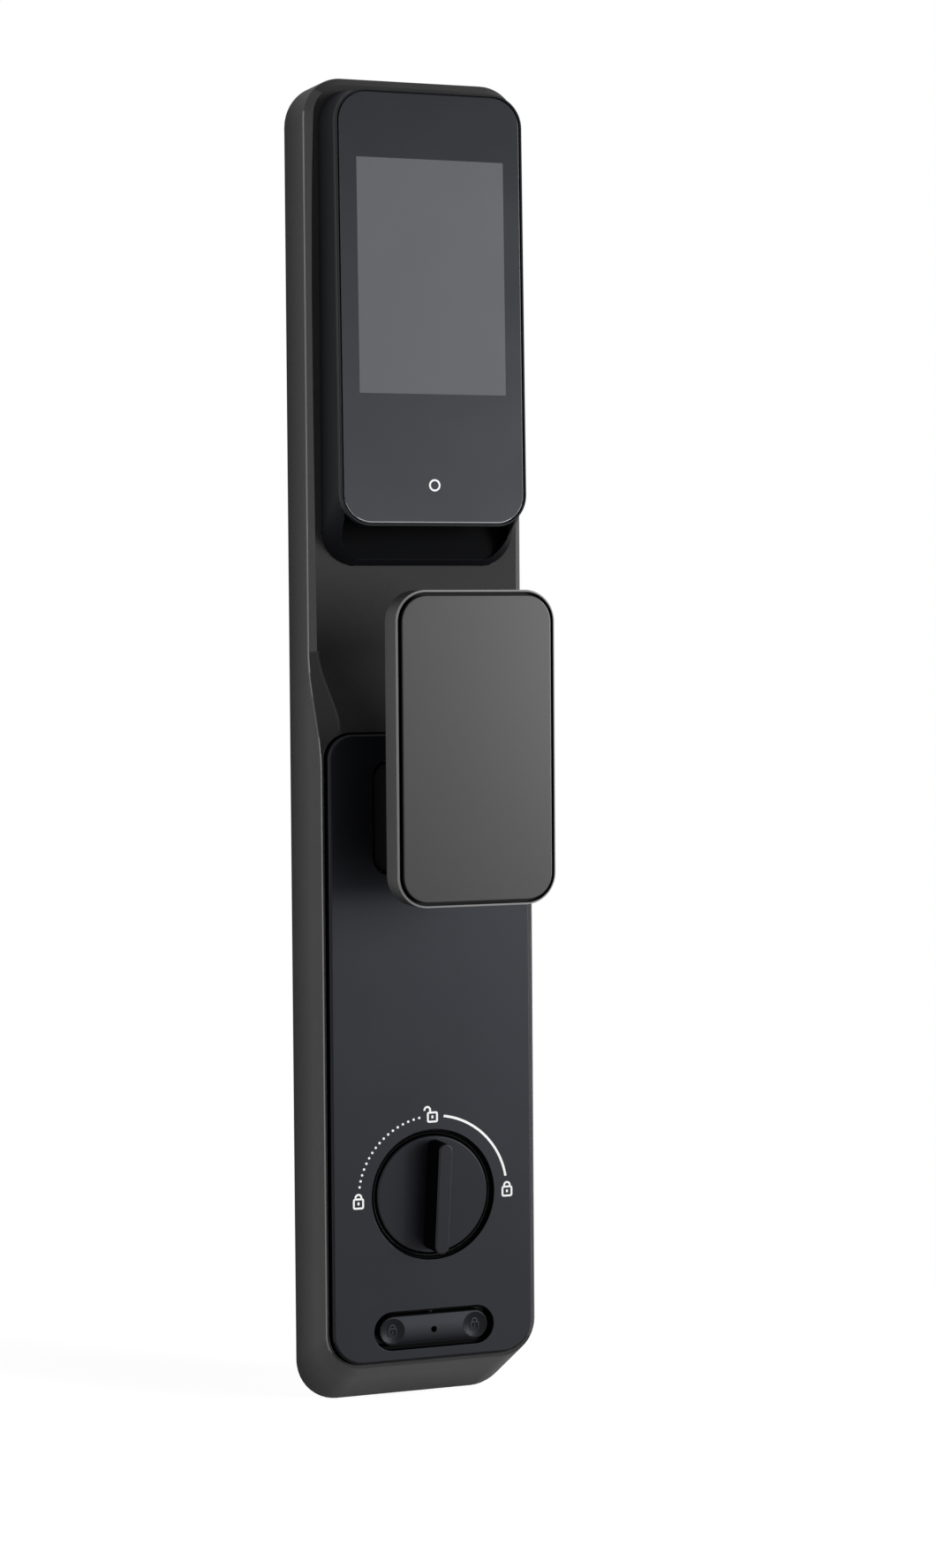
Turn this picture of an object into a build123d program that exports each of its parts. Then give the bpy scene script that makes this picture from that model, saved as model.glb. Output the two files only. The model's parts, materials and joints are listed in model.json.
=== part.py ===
"""Indoor half of a push-pull smart door lock, as an assembly of separate pieces.

Millimetres. The origin is the middle of the face that lies on the door. +X is to the right
of someone in front of the lock, +Y goes into the door and +Z is up, so the lock stands out
towards -Y. "Depth" below is the distance out from the door face, which is -Y.
"""
from build123d import *
from math import acos, cos, pi, radians, sin, tan
import os

# ---------------------------------------------------------------- fits and clearances
RUNNING_GAP = 0.05        # radial gap of a shaft that turns in its bore
SLIDE_GAP = 0.1           # gap of a piece that slides on flat guides
SCREW_GAP = 0.1           # radial gap between a screw and its hole
FREE_GAP = 0.3            # gap between pieces that pass each other

# ---------------------------------------------------------------- casing
BODY_WIDTH = 74.5
BODY_HEIGHT = 422.5
CENTRE_DROP = 1.25        # how far the casing's middle lies below height 0
BODY_CORNER = 14.0
OUTLINE_DEPTH = 30.0      # depth of the outline that the walls taper to
SIDE_TAPER = 1.8          # how far each side leans in over that depth
BOTTOM_TAPER = 17.0
FRONT_CORNER = 11.5
WALL = 2.6
GASKET_DEPTH = 0.8
GASKET_INSET = 0.4
GASKET_BAND = 2.6
UPPER_DEPTH = 19.2        # front of the upper half
UPPER_CHAMFER = 2.4
UPPER_WALL = 2.4
DECK_DEPTH = 21.4         # front of the deck that the lower panel stands on
RIM_DEPTH = DECK_DEPTH + 5.3      # front of the lip around the lower panel
STEP_TOP = 30.0           # height where the front starts to sweep outwards
STEP_BOTTOM = -8.0        # height where the sweep of the side edges ends
BROW_DEPTH = DECK_DEPTH + 6.2     # front of the sweep at the panel's top edge
BROW_SHOULDER = 6.5       # width of the sweep's sloping shoulder at the panel
STEP_STATIONS = 11
REACH = 50.0              # how far the casing's cutters run past its middle
BODY_TOP = BODY_HEIGHT / 2 - CENTRE_DROP
BODY_BOTTOM = BODY_TOP - BODY_HEIGHT
TALL = BODY_TOP + REACH

# ---------------------------------------------------------------- lower panel and its deck
DECK_WALL = 2.4
PANEL_FRONT = DECK_DEPTH + 7.5
PANEL_WIDTH = BODY_WIDTH - 6.5
PANEL_TOP = 4.05
PANEL_BOTTOM = BODY_BOTTOM + 16.95
PANEL_TOP_CORNER = 8.0
PANEL_BOTTOM_CORNER = 10.2
PANEL_PLATE = 2.5
PANEL_SKIRT = 1.8
PANEL_GAP = 0.55
PANEL_EDGE = 0.9

# ---------------------------------------------------------------- mounting plate
PLATE_THICKNESS = 2.0
PLATE_SIDE_INSET = 3.85   # from the casing's outline in to the plate
PLATE_END_INSET = 4.5
PLATE_CORNER = 10.0
BOLT_RADIUS = 2.75
BOLT_SPACING_X = 48.0
BOLT_TOP = 64.0
BOLT_BOTTOM = BODY_BOTTOM + 82.5
CABLE_SLOT_WIDTH = 26.0
CABLE_SLOT_HEIGHT = 16.0
CABLE_SLOT_Z = 24.0
HOOK_WIDTH = 24.0
HOOK_TOP = BODY_TOP - 10.5
HOOK_THICKNESS = 2.0
HOOK_DEPTH = 8.0
RIB_EXTRA = 2.0
CASING_SCREW_X = BODY_WIDTH / 2 - 10.25
CASING_SCREW_Z = (-56.0, BODY_BOTTOM + 42.5)
CASING_SCREW_RADIUS = 2.0
CASING_SCREW_LENGTH = 12.0
POST_RADIUS = 4.0
HEAD_HEIGHT = 1.6
HEAD_RATIO = 1.65         # head radius over shank radius
RECESS_RATIO = 0.7        # driver recess width over shank radius

# ---------------------------------------------------------------- screen module
SCREEN_TILT = 1.05        # degrees that the glass looks upwards
SCREEN_DEPTH = 34.1       # middle of the glass
GLASS_BOTTOM = 70.15
GLASS_TOP = BODY_TOP - 6.25
SCREEN_Z = (GLASS_BOTTOM + GLASS_TOP) / 2
GLASS_WIDTH = BODY_WIDTH - 14.3
GLASS_HEIGHT = GLASS_TOP - GLASS_BOTTOM
GLASS_CORNER = 9.0
GLASS_THICKNESS = 1.1
GLASS_GAP = 0.4
BEZEL_RIM = 0.65
BEZEL_LEDGE = 1.5
BEZEL_BACK = 2.4
BEZEL_SETBACK = 0.2
HOUSING_FOOT_WIDTH = BODY_WIDTH - 9.7
HOUSING_FOOT_BOTTOM = 56.9
HOUSING_FOOT_TOP = BODY_TOP - 4.0
HOUSING_FOOT_CORNER = 11.0
HOUSING_WALL = 2.0
HOUSING_FLOOR = 2.2
DISPLAY_WIDTH = GLASS_WIDTH - 8.2
DISPLAY_HEIGHT = GLASS_HEIGHT - 56.6
DISPLAY_RISE = 10.0       # above the middle of the glass
DISPLAY_THICKNESS = 2.6
BOARD_THICKNESS = 1.6
DISPLAY_BOARD_DEPTH = 26.0
DISPLAY_BOARD_WIDTH = GLASS_WIDTH - 6.2
DISPLAY_BOARD_BOTTOM = 78.0
DISPLAY_BOARD_TOP = BODY_TOP - 16.5
SMALL_SCREW_RADIUS = 1.4
SCREEN_POST_X = BODY_WIDTH / 2 - 14.25
SCREEN_POST_Z = (84.0, BODY_TOP - 22.5)
SCREEN_POST_RADIUS = 3.2
SCREEN_SCREW_END = 23.0
SHORT_SCREW_LENGTH = 2.6
RIBBON_Z = 100.0
RIBBON_WIDTH = 16.0
RIBBON_THICKNESS = 0.4
RIBBON_SLOT = 4.0
CONNECTOR_HEIGHT = 1.8
CONNECTOR_DEPTH = 4.0

# ---------------------------------------------------------------- upper electronics
MAIN_BOARD_DEPTH = 6.0
MAIN_BOARD_WIDTH = BODY_WIDTH - 16.5
MAIN_BOARD_BOTTOM = 74.0
MAIN_BOARD_TOP = BODY_TOP - 16.5
BOARD_CORNER = 3.0
CHIP_SPOTS = ((-12.0, 15.0, 12.0), (12.0, 27.0, 9.0), (-10.0, -13.0, 7.0), (14.0, -7.0, 14.0))
CHIP_HEIGHT = 1.2
SPEAKER_Z = 50.0
SPEAKER_RADIUS = 11.0
SPEAKER_HEIGHT = 4.4

# ---------------------------------------------------------------- push-pull handle
HANDLE_WIDTH = 52.1
HANDLE_BOTTOM = -48.0
HANDLE_TOP = 48.7
HANDLE_CORNER = 9.7
HANDLE_BACK = 58.2
HANDLE_RIM = 69.3
HANDLE_FLOOR = 3.0
HANDLE_EDGE = 0.55
HANDLE_BACK_EDGE = 1.6
INSERT_FRONT = 70.0
INSERT_THICKNESS = 3.0
INSERT_GAP = 0.9
INSERT_MARGIN = 1.6       # from the frame's side to the insert
INSERT_LEDGE = 3.0
INSERT_EDGE = 0.4
STEM_WIDTH = 37.6
STEM_HEIGHT = 34.3
STEM_Z = -22.35
STEM_CORNER = 5.0
STEM_BACK = DECK_DEPTH - 3.4
STEM_SIDE_GAP = 0.5
STEM_SWING_GAP = 0.95     # room above and below the stem for its swing
PIVOT_DEPTH = DECK_DEPTH + 2.4
PIVOT_RADIUS = 1.75
BRACKET_WIDTH = 54.0
BRACKET_BOTTOM = -45.5
BRACKET_TOP = 1.6
BRACKET_FRONT = DECK_DEPTH + 4.8
BRACKET_SCREW_X = 23.4
BRACKET_SCREW_TOP = -1.2
BRACKET_SCREW_BOTTOM = -43.0
BRACKET_SCREW_RADIUS = 1.2
HANDLE_SCREW_X = 12.0
HANDLE_SCREW_RISE = 11.0
HANDLE_SCREW_RADIUS = 1.7
HANDLE_SCREW_END = 48.0

# ---------------------------------------------------------------- drive from handle to spindle
ARM_WIDTH = 4.0
ARM_END_RADIUS = 3.2
ARM_FLANGE_WIDTH = 18.0
ARM_FLANGE_HEIGHT = 17.0
ARM_FLANGE = 2.0
ARM_SCREW_RISE = 5.6
ARM_SCREW_END = STEM_BACK + 3.4
DRIVE_PIN_DEPTH = 6.4
DRIVE_PIN_RADIUS = 1.75
DRIVE_PIN_LENGTH = 24.8
SLIDER_HALF_WIDTH = 14.05
SLIDER_BACK = 4.4
SLIDER_THICKNESS = 2.0
SLIDER_BOTTOM = -66.0
SLIDER_TOP = -14.0
SLIDER_TRAVEL = 2.5       # room for the slider each way
ARM_WINDOW_RISE = 6.0
FORK_HEIGHT = 10.0
FORK_FRONT = 8.7
HUB_Z = -50.0
HUB_RADIUS = 7.0
HUB_SHOULDER = 0.8        # the hub is this much wider in front of its bushing
SPINDLE_SIDE = 8.1
SPINDLE_SOCKET = 6.6
HUB_BACK = 0.1
CRANK_BACK = 6.7
CRANK_THICKNESS = 2.0
CRANK_DISC_RADIUS = 12.0
CRANK_RADIUS = 9.6
CRANK_PIN_RADIUS = 1.4
CRANK_SLOT_EXTRA = 0.6
BUSHING_RADIUS = 8.5
BUSHING_FLANGE_RADIUS = 10.5
BUSHING_FLANGE = 1.2
FRAME_WALL = 2.0
FRAME_FRONT = 9.0
FRAME_LIP_X = 12.4
SPRING_LENGTH = 8.0
SPRING_RADIUS = 1.8
SPRING_WIRE = 0.3
SPRING_TURNS = 6
FRAME_LUG_WIDTH = 5.0
FRAME_LUG_HEIGHT = 6.0
COVER_THICKNESS = 1.2
COVER_WINDOW_X = 11.0
COVER_WINDOW_RISE = 7.5
COVER_LIP_TOP = -34.0

# ---------------------------------------------------------------- thumbturn
TURN_Z = BODY_BOTTOM + 69.6
TURN_LEAN = 3.0           # degrees that the bar leans to the right at rest
TURN_HOLE_RADIUS = 20.8
TURN_BEZEL_GAP = 0.2
TURN_BEZEL_WIDTH = 1.2
TURN_BEZEL_FRONT = PANEL_FRONT - 1.5
TURN_DISC_RADIUS = 18.9
TURN_DISC_BACK = DECK_DEPTH + 2.9
TURN_DISC_FRONT = PANEL_FRONT - 0.6
TURN_DISC_EDGE = 0.5
TURN_BAR_WIDTH = 4.8
TURN_BAR_LENGTH = 35.0
TURN_BAR_HEIGHT = 10.5
TURN_BAR_EDGE = 0.6
TURN_COLLAR_RADIUS = 9.0
TURN_BUSHING_RADIUS = 8.0
TURN_FLANGE_RADIUS = 10.0
TURN_FLANGE = 1.2
SHAFT_RADIUS = 5.0
SHAFT_BACK = 0.2
SHAFT_SPIGOT = 2.5        # length of the shaft inside the knob
TAIL_SIDE = 5.1
TAIL_SOCKET = 12.0
CLIP_RADIUS = 7.4
CLIP_THICKNESS = 0.8
CLIP_MOUTH = 6.0
CLIP_GROOVE = 0.6

# ---------------------------------------------------------------- thumbturn position sensor
GEAR_MODULE = 0.8
GEAR_PRESSURE = 20.0
GEAR_BACKLASH = 0.12
GEAR_ROOT = 1.25          # depth of the tooth below the pitch circle, in modules
FLANK_STEPS = 4
TURN_TEETH = 32
SENSOR_TEETH = 18
GEAR_BACK = 11.0
GEAR_WIDTH = 4.0
SENSOR_SHAFT_RADIUS = 1.5
SENSOR_SHAFT_BACK = 5.0
SENSOR_SHOULDER_RADIUS = 3.0
SENSOR_SIZE = 12.0
SENSOR_CORNER = 1.0
SENSOR_HEIGHT = 6.0
SENSOR_BOARD_SIZE = 17.0

# ---------------------------------------------------------------- battery
BATTERY_WIDTH = BODY_WIDTH - 20.1
BATTERY_BOTTOM = TURN_Z + 22.4
BATTERY_TOP = SLIDER_BOTTOM - 14.0
BATTERY_FRONT = 18.4
BATTERY_CORNER = 3.0
BATTERY_GAP = 0.3
CRADLE_WALL = 1.5
CRADLE_FLOOR = 1.2
CRADLE_FRONT = 17.0

# ---------------------------------------------------------------- lock and unlock rocker
ROCKER_Z = BODY_BOTTOM + 26.75
ROCKER_HOLE_WIDTH = 40.7
ROCKER_HOLE_HEIGHT = 12.3
ROCKER_WIDTH = 36.8
ROCKER_HEIGHT = 9.5
ROCKER_BACK = DECK_DEPTH + 2.8
ROCKER_FRONT = PANEL_FRONT - 0.3
ROCKER_EDGE = 0.5
DIMPLE_X = 14.0
DIMPLE_RADIUS = 4.1
DIMPLE_DEPTH = 0.7
PINHOLE_RADIUS = 1.0
PINHOLE_DROP = 0.4
ROCKER_AXIS_DEPTH = DECK_DEPTH + 3.5
ROCKER_PIN_RADIUS = 0.8
ROCKER_PIN_REACH = 1.6      # length of each pin outside the rocker
ROCKER_PIN_SEAT = 1.5
ROCKER_FRAME_WIDTH = 44.0
ROCKER_FRAME_HEIGHT = 15.2
ROCKER_FRAME_FRONT = DECK_DEPTH + 4.8
ROCKER_FRAME_CORNER = 2.0
ROCKER_ROOM_X = 19.6
ROCKER_ROOM_Z = 5.2
BUTTON_BOARD_WIDTH = 38.6
BUTTON_BOARD_HEIGHT = 9.8
BUTTON_BOARD_THICKNESS = 1.2
SWITCH_SIZE = 4.4
SWITCH_HEIGHT = 0.8
RESET_BASE_SIZE = 3.6
RESET_BASE_HEIGHT = 0.9
RESET_RADIUS = 0.9
RESET_BACK = DECK_DEPTH + 1.8
RESET_FRONT = DECK_DEPTH + 2.6
RESET_ROOM = 0.45         # room behind the plunger

os.makedirs("parts", exist_ok=True)


# ================================================================ helpers
def front_plane(depth):
    """A plane parallel to the door whose sketches are seen from the front, X right and Z up."""
    return Plane(origin=(0, -depth, 0), x_dir=(1, 0, 0), z_dir=(0, -1, 0))


def rounded(width, low, high, radius, depth):
    """A rounded rectangle centred on X = 0, from low to high, at a depth."""
    with BuildSketch(front_plane(depth)) as outline:
        with Locations((0, (low + high) / 2)):
            RectangleRounded(width, high - low, radius)
    return outline.sketch


def slab(width, low, high, radius, back, front, mode=Mode.ADD):
    """A rounded rectangle from the depth back to the depth front."""
    extrude(rounded(width, low, high, radius, back), amount=front - back, mode=mode)


def block(left, right, low, high, back, front, mode=Mode.ADD):
    """A square-edged block from the depth back to the depth front."""
    with BuildSketch(front_plane(back)) as outline:
        with Locations(((left + right) / 2, (low + high) / 2)):
            Rectangle(right - left, high - low)
    extrude(outline.sketch, amount=front - back, mode=mode)


def panel_outline(margin, depth):
    """The lower panel's outline grown by margin; its bottom corners are rounder than the top ones."""
    with BuildSketch(front_plane(depth)) as outline:
        with Locations((0, (PANEL_BOTTOM + PANEL_TOP) / 2)):
            Rectangle(PANEL_WIDTH + 2 * margin, PANEL_TOP - PANEL_BOTTOM + 2 * margin)
        fillet(outline.vertices().group_by(Axis.Y)[-1], PANEL_TOP_CORNER + margin)
        fillet(outline.vertices().group_by(Axis.Y)[0], PANEL_BOTTOM_CORNER + margin)
    return outline.sketch


def rods(spots, radius, back, front, mode=Mode.ADD):
    """Round rods along the depth, one at each (x, z) spot."""
    with BuildSketch(front_plane(back)) as outline:
        with Locations(*spots):
            Circle(radius)
    extrude(outline.sketch, amount=front - back, mode=mode)


def stadium(width, height, z, back, front, mode=Mode.ADD):
    """A bar with round ends along X."""
    with BuildSketch(front_plane(back)) as outline:
        with Locations((0, z)):
            SlotOverall(width, height)
    extrude(outline.sketch, amount=front - back, mode=mode)


def cross_rod(half_length, radius, depth, z, mode=Mode.ADD):
    """A round rod along X."""
    with BuildSketch(Plane.YZ.offset(-half_length)) as outline:
        with Locations((-depth, z)):
            Circle(radius)
    extrude(outline.sketch, amount=2 * half_length, mode=mode)


def upright_rod(radius, depth, low, high, mode=Mode.ADD):
    """A round rod along Z at X = 0."""
    with BuildSketch(Plane.XY.offset(low)) as outline:
        with Locations((0, -depth)):
            Circle(radius)
    extrude(outline.sketch, amount=high - low, mode=mode)


def screws(spots, radius, seat, tip):
    """Pan-head screws: the head lies on the depth seat and the shank runs to the depth tip."""
    outward = 1 if seat > tip else -1
    head_top = seat + outward * HEAD_HEIGHT
    rods(spots, radius * HEAD_RATIO, min(seat, head_top), max(seat, head_top))
    rods(spots, radius, min(seat, tip), max(seat, tip))
    recess_floor = head_top - outward * HEAD_HEIGHT / 2
    with BuildSketch(front_plane(min(recess_floor, head_top))) as recess:
        with Locations(*spots):
            RegularPolygon(radius * RECESS_RATIO, 6)
    extrude(recess.sketch, amount=HEAD_HEIGHT / 2, mode=Mode.SUBTRACT)


def mirrored(x, heights):
    """Spots at -x and +x for each height."""
    return [(side * x, z) for z in heights for side in (-1, 1)]


def save(builder, name):
    """Label the finished piece and write it."""
    builder.part.label = name
    export_step(builder.part, f"parts/{name}.step")


# ================================================================ values worked out from the sizes
casing_back = GASKET_DEPTH
cavity_front = UPPER_DEPTH - UPPER_WALL
deck_back = DECK_DEPTH - DECK_WALL
recess_top = PANEL_TOP + PANEL_GAP
stem_low = STEM_Z - STEM_HEIGHT / 2
stem_high = STEM_Z + STEM_HEIGHT / 2
swing_low = stem_low - STEM_SWING_GAP
swing_high = stem_high + STEM_SWING_GAP
swing_width = STEM_WIDTH + 2 * STEM_SIDE_GAP
swing_corner = STEM_CORNER + STEM_SIDE_GAP
insert_width = HANDLE_WIDTH - 2 * INSERT_MARGIN
insert_low = HANDLE_BOTTOM + INSERT_MARGIN
insert_high = HANDLE_TOP - INSERT_MARGIN
insert_corner = HANDLE_CORNER - INSERT_MARGIN
slider_front = SLIDER_BACK + SLIDER_THICKNESS
arm_x = (ARM_FLANGE_WIDTH - ARM_WIDTH) / 2
fork_inner_x = ARM_FLANGE_WIDTH / 2 + FREE_GAP
spring_depth = SLIDER_BACK + SLIDER_THICKNESS / 2
hub_body_radius = HUB_RADIUS + HUB_SHOULDER
hub_shoulder_back = PLATE_THICKNESS + BUSHING_FLANGE + SLIDE_GAP
frame_inner_x = SLIDER_HALF_WIDTH + SLIDE_GAP
frame_outer_x = frame_inner_x + FRAME_WALL
frame_low = SLIDER_BOTTOM - SPRING_LENGTH
frame_high = SLIDER_TOP + SPRING_LENGTH
cover_front = FRAME_FRONT + COVER_THICKNESS
gear_distance = GEAR_MODULE * (TURN_TEETH + SENSOR_TEETH) / 2
collar_back = DECK_DEPTH + TURN_FLANGE + SLIDE_GAP
button_front = DECK_DEPTH + BUTTON_BOARD_THICKNESS
screen_normal = (0, -cos(radians(SCREEN_TILT)), sin(radians(SCREEN_TILT)))
screen_plane = Plane(origin=(0, -SCREEN_DEPTH, SCREEN_Z), x_dir=(1, 0, 0), z_dir=screen_normal)
bezel_width = GLASS_WIDTH + 2 * (GLASS_GAP + BEZEL_RIM)
bezel_height = GLASS_HEIGHT + 2 * (GLASS_GAP + BEZEL_RIM)
bezel_corner = GLASS_CORNER + GLASS_GAP + BEZEL_RIM
casing_screw_spots = mirrored(CASING_SCREW_X, CASING_SCREW_Z)
bolt_spots = mirrored(BOLT_SPACING_X / 2, (BOLT_BOTTOM, BOLT_TOP))
screen_spots = mirrored(SCREEN_POST_X, SCREEN_POST_Z)
bracket_spots = mirrored(BRACKET_SCREW_X, (BRACKET_SCREW_BOTTOM, BRACKET_SCREW_TOP))
bracket_screw_seat = BRACKET_FRONT - HEAD_HEIGHT - SCREW_GAP
cover_screw_heights = (frame_low + FRAME_LUG_HEIGHT / 2, frame_high - FRAME_LUG_HEIGHT / 2)
cover_spots = mirrored(frame_outer_x + FRAME_LUG_WIDTH / 2, cover_screw_heights)
handle_screw_spots = mirrored(HANDLE_SCREW_X, (STEM_Z - HANDLE_SCREW_RISE, STEM_Z + HANDLE_SCREW_RISE))
arm_spots = [(0, STEM_Z - ARM_SCREW_RISE), (0, STEM_Z + ARM_SCREW_RISE)]


# ================================================================ casing
def body_outline(inset, depth_share):
    """The casing's outline, drawn in by inset, at a share of the way from the door to OUTLINE_DEPTH."""
    half_width = BODY_WIDTH / 2 - SIDE_TAPER * depth_share - inset
    low = BODY_BOTTOM + BOTTOM_TAPER * depth_share + inset
    high = BODY_TOP - inset
    corner = BODY_CORNER + (FRONT_CORNER - BODY_CORNER) * depth_share - inset
    return rounded(2 * half_width, low, high, corner, OUTLINE_DEPTH * depth_share)


def step_share(height, start, finish):
    """How far a smooth sweep from the height start to the height finish has gone, from 0 to 1."""
    share = min(1, max(0, (start - height) / (start - finish)))
    return share * share * (3 - 2 * share)


def step_section(height):
    """The front's cross-section at a height, while it sweeps from the upper half out to the panel."""
    ridge = UPPER_DEPTH - UPPER_CHAMFER
    ridge_x = BODY_WIDTH / 2 - SIDE_TAPER * ridge / OUTLINE_DEPTH
    edge_depth = ridge + (RIM_DEPTH - ridge) * step_share(height, STEP_TOP, STEP_BOTTOM)
    rise = step_share(height, STEP_TOP, recess_top)
    fall = step_share(height, recess_top, STEP_BOTTOM)
    face_depth = UPPER_DEPTH + (BROW_DEPTH - UPPER_DEPTH) * rise - (BROW_DEPTH - RIM_DEPTH) * fall
    shoulder = UPPER_CHAMFER + (BROW_SHOULDER - UPPER_CHAMFER) * rise
    inner_x = BODY_WIDTH / 2 - SIDE_TAPER * UPPER_DEPTH / OUTLINE_DEPTH - shoulder
    outer_depth = edge_depth - (REACH - ridge_x) * (face_depth - edge_depth) / (ridge_x - inner_x)
    corners = [(-REACH, REACH), (-REACH, -outer_depth), (-inner_x, -face_depth),
               (inner_x, -face_depth), (REACH, -outer_depth), (REACH, REACH)]
    with BuildSketch(Plane.XY.offset(height)) as section:
        with BuildLine():
            Polyline(*corners, close=True)
        make_face()
    return section.sketch


with BuildPart() as upper_body:
    loft([body_outline(0, 0), body_outline(0, 1)], ruled=True)
    block(-REACH, REACH, STEP_TOP, TALL, casing_back, UPPER_DEPTH, mode=Mode.INTERSECT)
    face = upper_body.faces().filter_by(Axis.Y).sort_by(Axis.Y)[0]
    chamfer(face.edges().sort_by(Axis.Z)[1:], length=UPPER_CHAMFER)

step_heights = [STEP_TOP + (STEP_BOTTOM - STEP_TOP) * station / (STEP_STATIONS - 1)
                for station in range(STEP_STATIONS)]

with BuildPart() as lower_envelope:
    loft([step_section(height) for height in step_heights])
    block(-REACH, REACH, -TALL, STEP_BOTTOM, -REACH, RIM_DEPTH)

with BuildPart() as cavity:
    loft([body_outline(WALL, 0), body_outline(WALL, 1)], ruled=True)
    block(-REACH, REACH, recess_top, TALL, 0, cavity_front, mode=Mode.INTERSECT)

with BuildPart() as lower_cavity:
    loft([body_outline(WALL, 0), body_outline(WALL, 1)], ruled=True)
    block(-REACH, REACH, -TALL, recess_top, 0, deck_back, mode=Mode.INTERSECT)

with BuildPart() as casing:
    loft([body_outline(0, 0), body_outline(0, 1)], ruled=True)
    block(-REACH, REACH, -TALL, STEP_TOP, casing_back, OUTLINE_DEPTH, mode=Mode.INTERSECT)
    add(lower_envelope.part, mode=Mode.INTERSECT)
    add(upper_body.part)
    add(cavity.part, mode=Mode.SUBTRACT)
    add(lower_cavity.part, mode=Mode.SUBTRACT)
    # recess for the lower panel
    extrude(panel_outline(PANEL_GAP, DECK_DEPTH), amount=REACH, mode=Mode.SUBTRACT)
    # rib that hangs on the mounting plate's hook
    block(-HOOK_WIDTH / 2 - RIB_EXTRA, HOOK_WIDTH / 2 + RIB_EXTRA, HOOK_TOP,
          BODY_TOP - WALL, HOOK_DEPTH / 2, HOOK_DEPTH)
    # windows and holes in the deck
    slab(swing_width, swing_low, swing_high, swing_corner, deck_back, DECK_DEPTH, mode=Mode.SUBTRACT)
    slab(BATTERY_WIDTH + 2 * BATTERY_GAP, BATTERY_BOTTOM - BATTERY_GAP, BATTERY_TOP + BATTERY_GAP,
         BATTERY_CORNER + BATTERY_GAP, deck_back, DECK_DEPTH, mode=Mode.SUBTRACT)
    rods([(0, TURN_Z)], TURN_BUSHING_RADIUS, deck_back, DECK_DEPTH, mode=Mode.SUBTRACT)
    rods(casing_screw_spots, CASING_SCREW_RADIUS + SCREW_GAP, deck_back, DECK_DEPTH, mode=Mode.SUBTRACT)
    rods(bracket_spots, BRACKET_SCREW_RADIUS + SCREW_GAP, deck_back, DECK_DEPTH, mode=Mode.SUBTRACT)
    # holes and ribbon slot behind the screen module
    rods(screen_spots, SMALL_SCREW_RADIUS + SCREW_GAP, cavity_front, UPPER_DEPTH, mode=Mode.SUBTRACT)
    block(-RIBBON_WIDTH / 2 - FREE_GAP, RIBBON_WIDTH / 2 + FREE_GAP, RIBBON_Z - RIBBON_SLOT / 2,
          RIBBON_Z + RIBBON_SLOT / 2, cavity_front, UPPER_DEPTH, mode=Mode.SUBTRACT)
save(casing, "casing")

with BuildPart() as back_gasket:
    slab(BODY_WIDTH - 2 * GASKET_INSET, BODY_BOTTOM + GASKET_INSET, BODY_TOP - GASKET_INSET,
         BODY_CORNER - GASKET_INSET, 0, GASKET_DEPTH)
    inner_inset = GASKET_INSET + GASKET_BAND
    slab(BODY_WIDTH - 2 * inner_inset, BODY_BOTTOM + inner_inset, BODY_TOP - inner_inset,
         BODY_CORNER - inner_inset, 0, GASKET_DEPTH, mode=Mode.SUBTRACT)
save(back_gasket, "back_gasket")

with BuildPart() as mounting_plate:
    slab(BODY_WIDTH - 2 * PLATE_SIDE_INSET, BODY_BOTTOM + PLATE_END_INSET, BODY_TOP - PLATE_END_INSET,
         PLATE_CORNER, 0, PLATE_THICKNESS)
    block(-HOOK_WIDTH / 2, HOOK_WIDTH / 2, HOOK_TOP - HOOK_THICKNESS, HOOK_TOP, 0, HOOK_DEPTH)
    rods(bolt_spots, BOLT_RADIUS, 0, PLATE_THICKNESS, mode=Mode.SUBTRACT)
    rods(cover_spots, SMALL_SCREW_RADIUS + SCREW_GAP, 0, PLATE_THICKNESS, mode=Mode.SUBTRACT)
    rods([(0, HUB_Z)], BUSHING_RADIUS, 0, PLATE_THICKNESS, mode=Mode.SUBTRACT)
    rods([(0, TURN_Z)], SHAFT_RADIUS + RUNNING_GAP, 0, PLATE_THICKNESS, mode=Mode.SUBTRACT)
    block(-CABLE_SLOT_WIDTH / 2, CABLE_SLOT_WIDTH / 2, CABLE_SLOT_Z - CABLE_SLOT_HEIGHT / 2,
          CABLE_SLOT_Z + CABLE_SLOT_HEIGHT / 2, 0, PLATE_THICKNESS, mode=Mode.SUBTRACT)
save(mounting_plate, "mounting_plate")

with BuildPart() as plate_posts:
    rods(casing_screw_spots, POST_RADIUS, PLATE_THICKNESS, deck_back)
    rods(casing_screw_spots, CASING_SCREW_RADIUS + SCREW_GAP,
         DECK_DEPTH - CASING_SCREW_LENGTH - FREE_GAP, deck_back, mode=Mode.SUBTRACT)
save(plate_posts, "plate_posts")

with BuildPart() as board_posts:
    rods(screen_spots, SCREEN_POST_RADIUS, PLATE_THICKNESS, MAIN_BOARD_DEPTH)
    rods(screen_spots, SMALL_SCREW_RADIUS + SCREW_GAP, MAIN_BOARD_DEPTH - SHORT_SCREW_LENGTH,
         MAIN_BOARD_DEPTH, mode=Mode.SUBTRACT)
save(board_posts, "board_posts")

with BuildPart() as casing_screws:
    screws(casing_screw_spots, CASING_SCREW_RADIUS, DECK_DEPTH, DECK_DEPTH - CASING_SCREW_LENGTH)
save(casing_screws, "casing_screws")


# ================================================================ screen module
def screen_outline(width, height, corner, rise, offset):
    """A rounded rectangle on a plane parallel to the glass, offset outwards from its front."""
    with BuildSketch(screen_plane.offset(offset)) as outline:
        with Locations((0, rise)):
            RectangleRounded(width, height, corner)
    return outline.sketch


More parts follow.
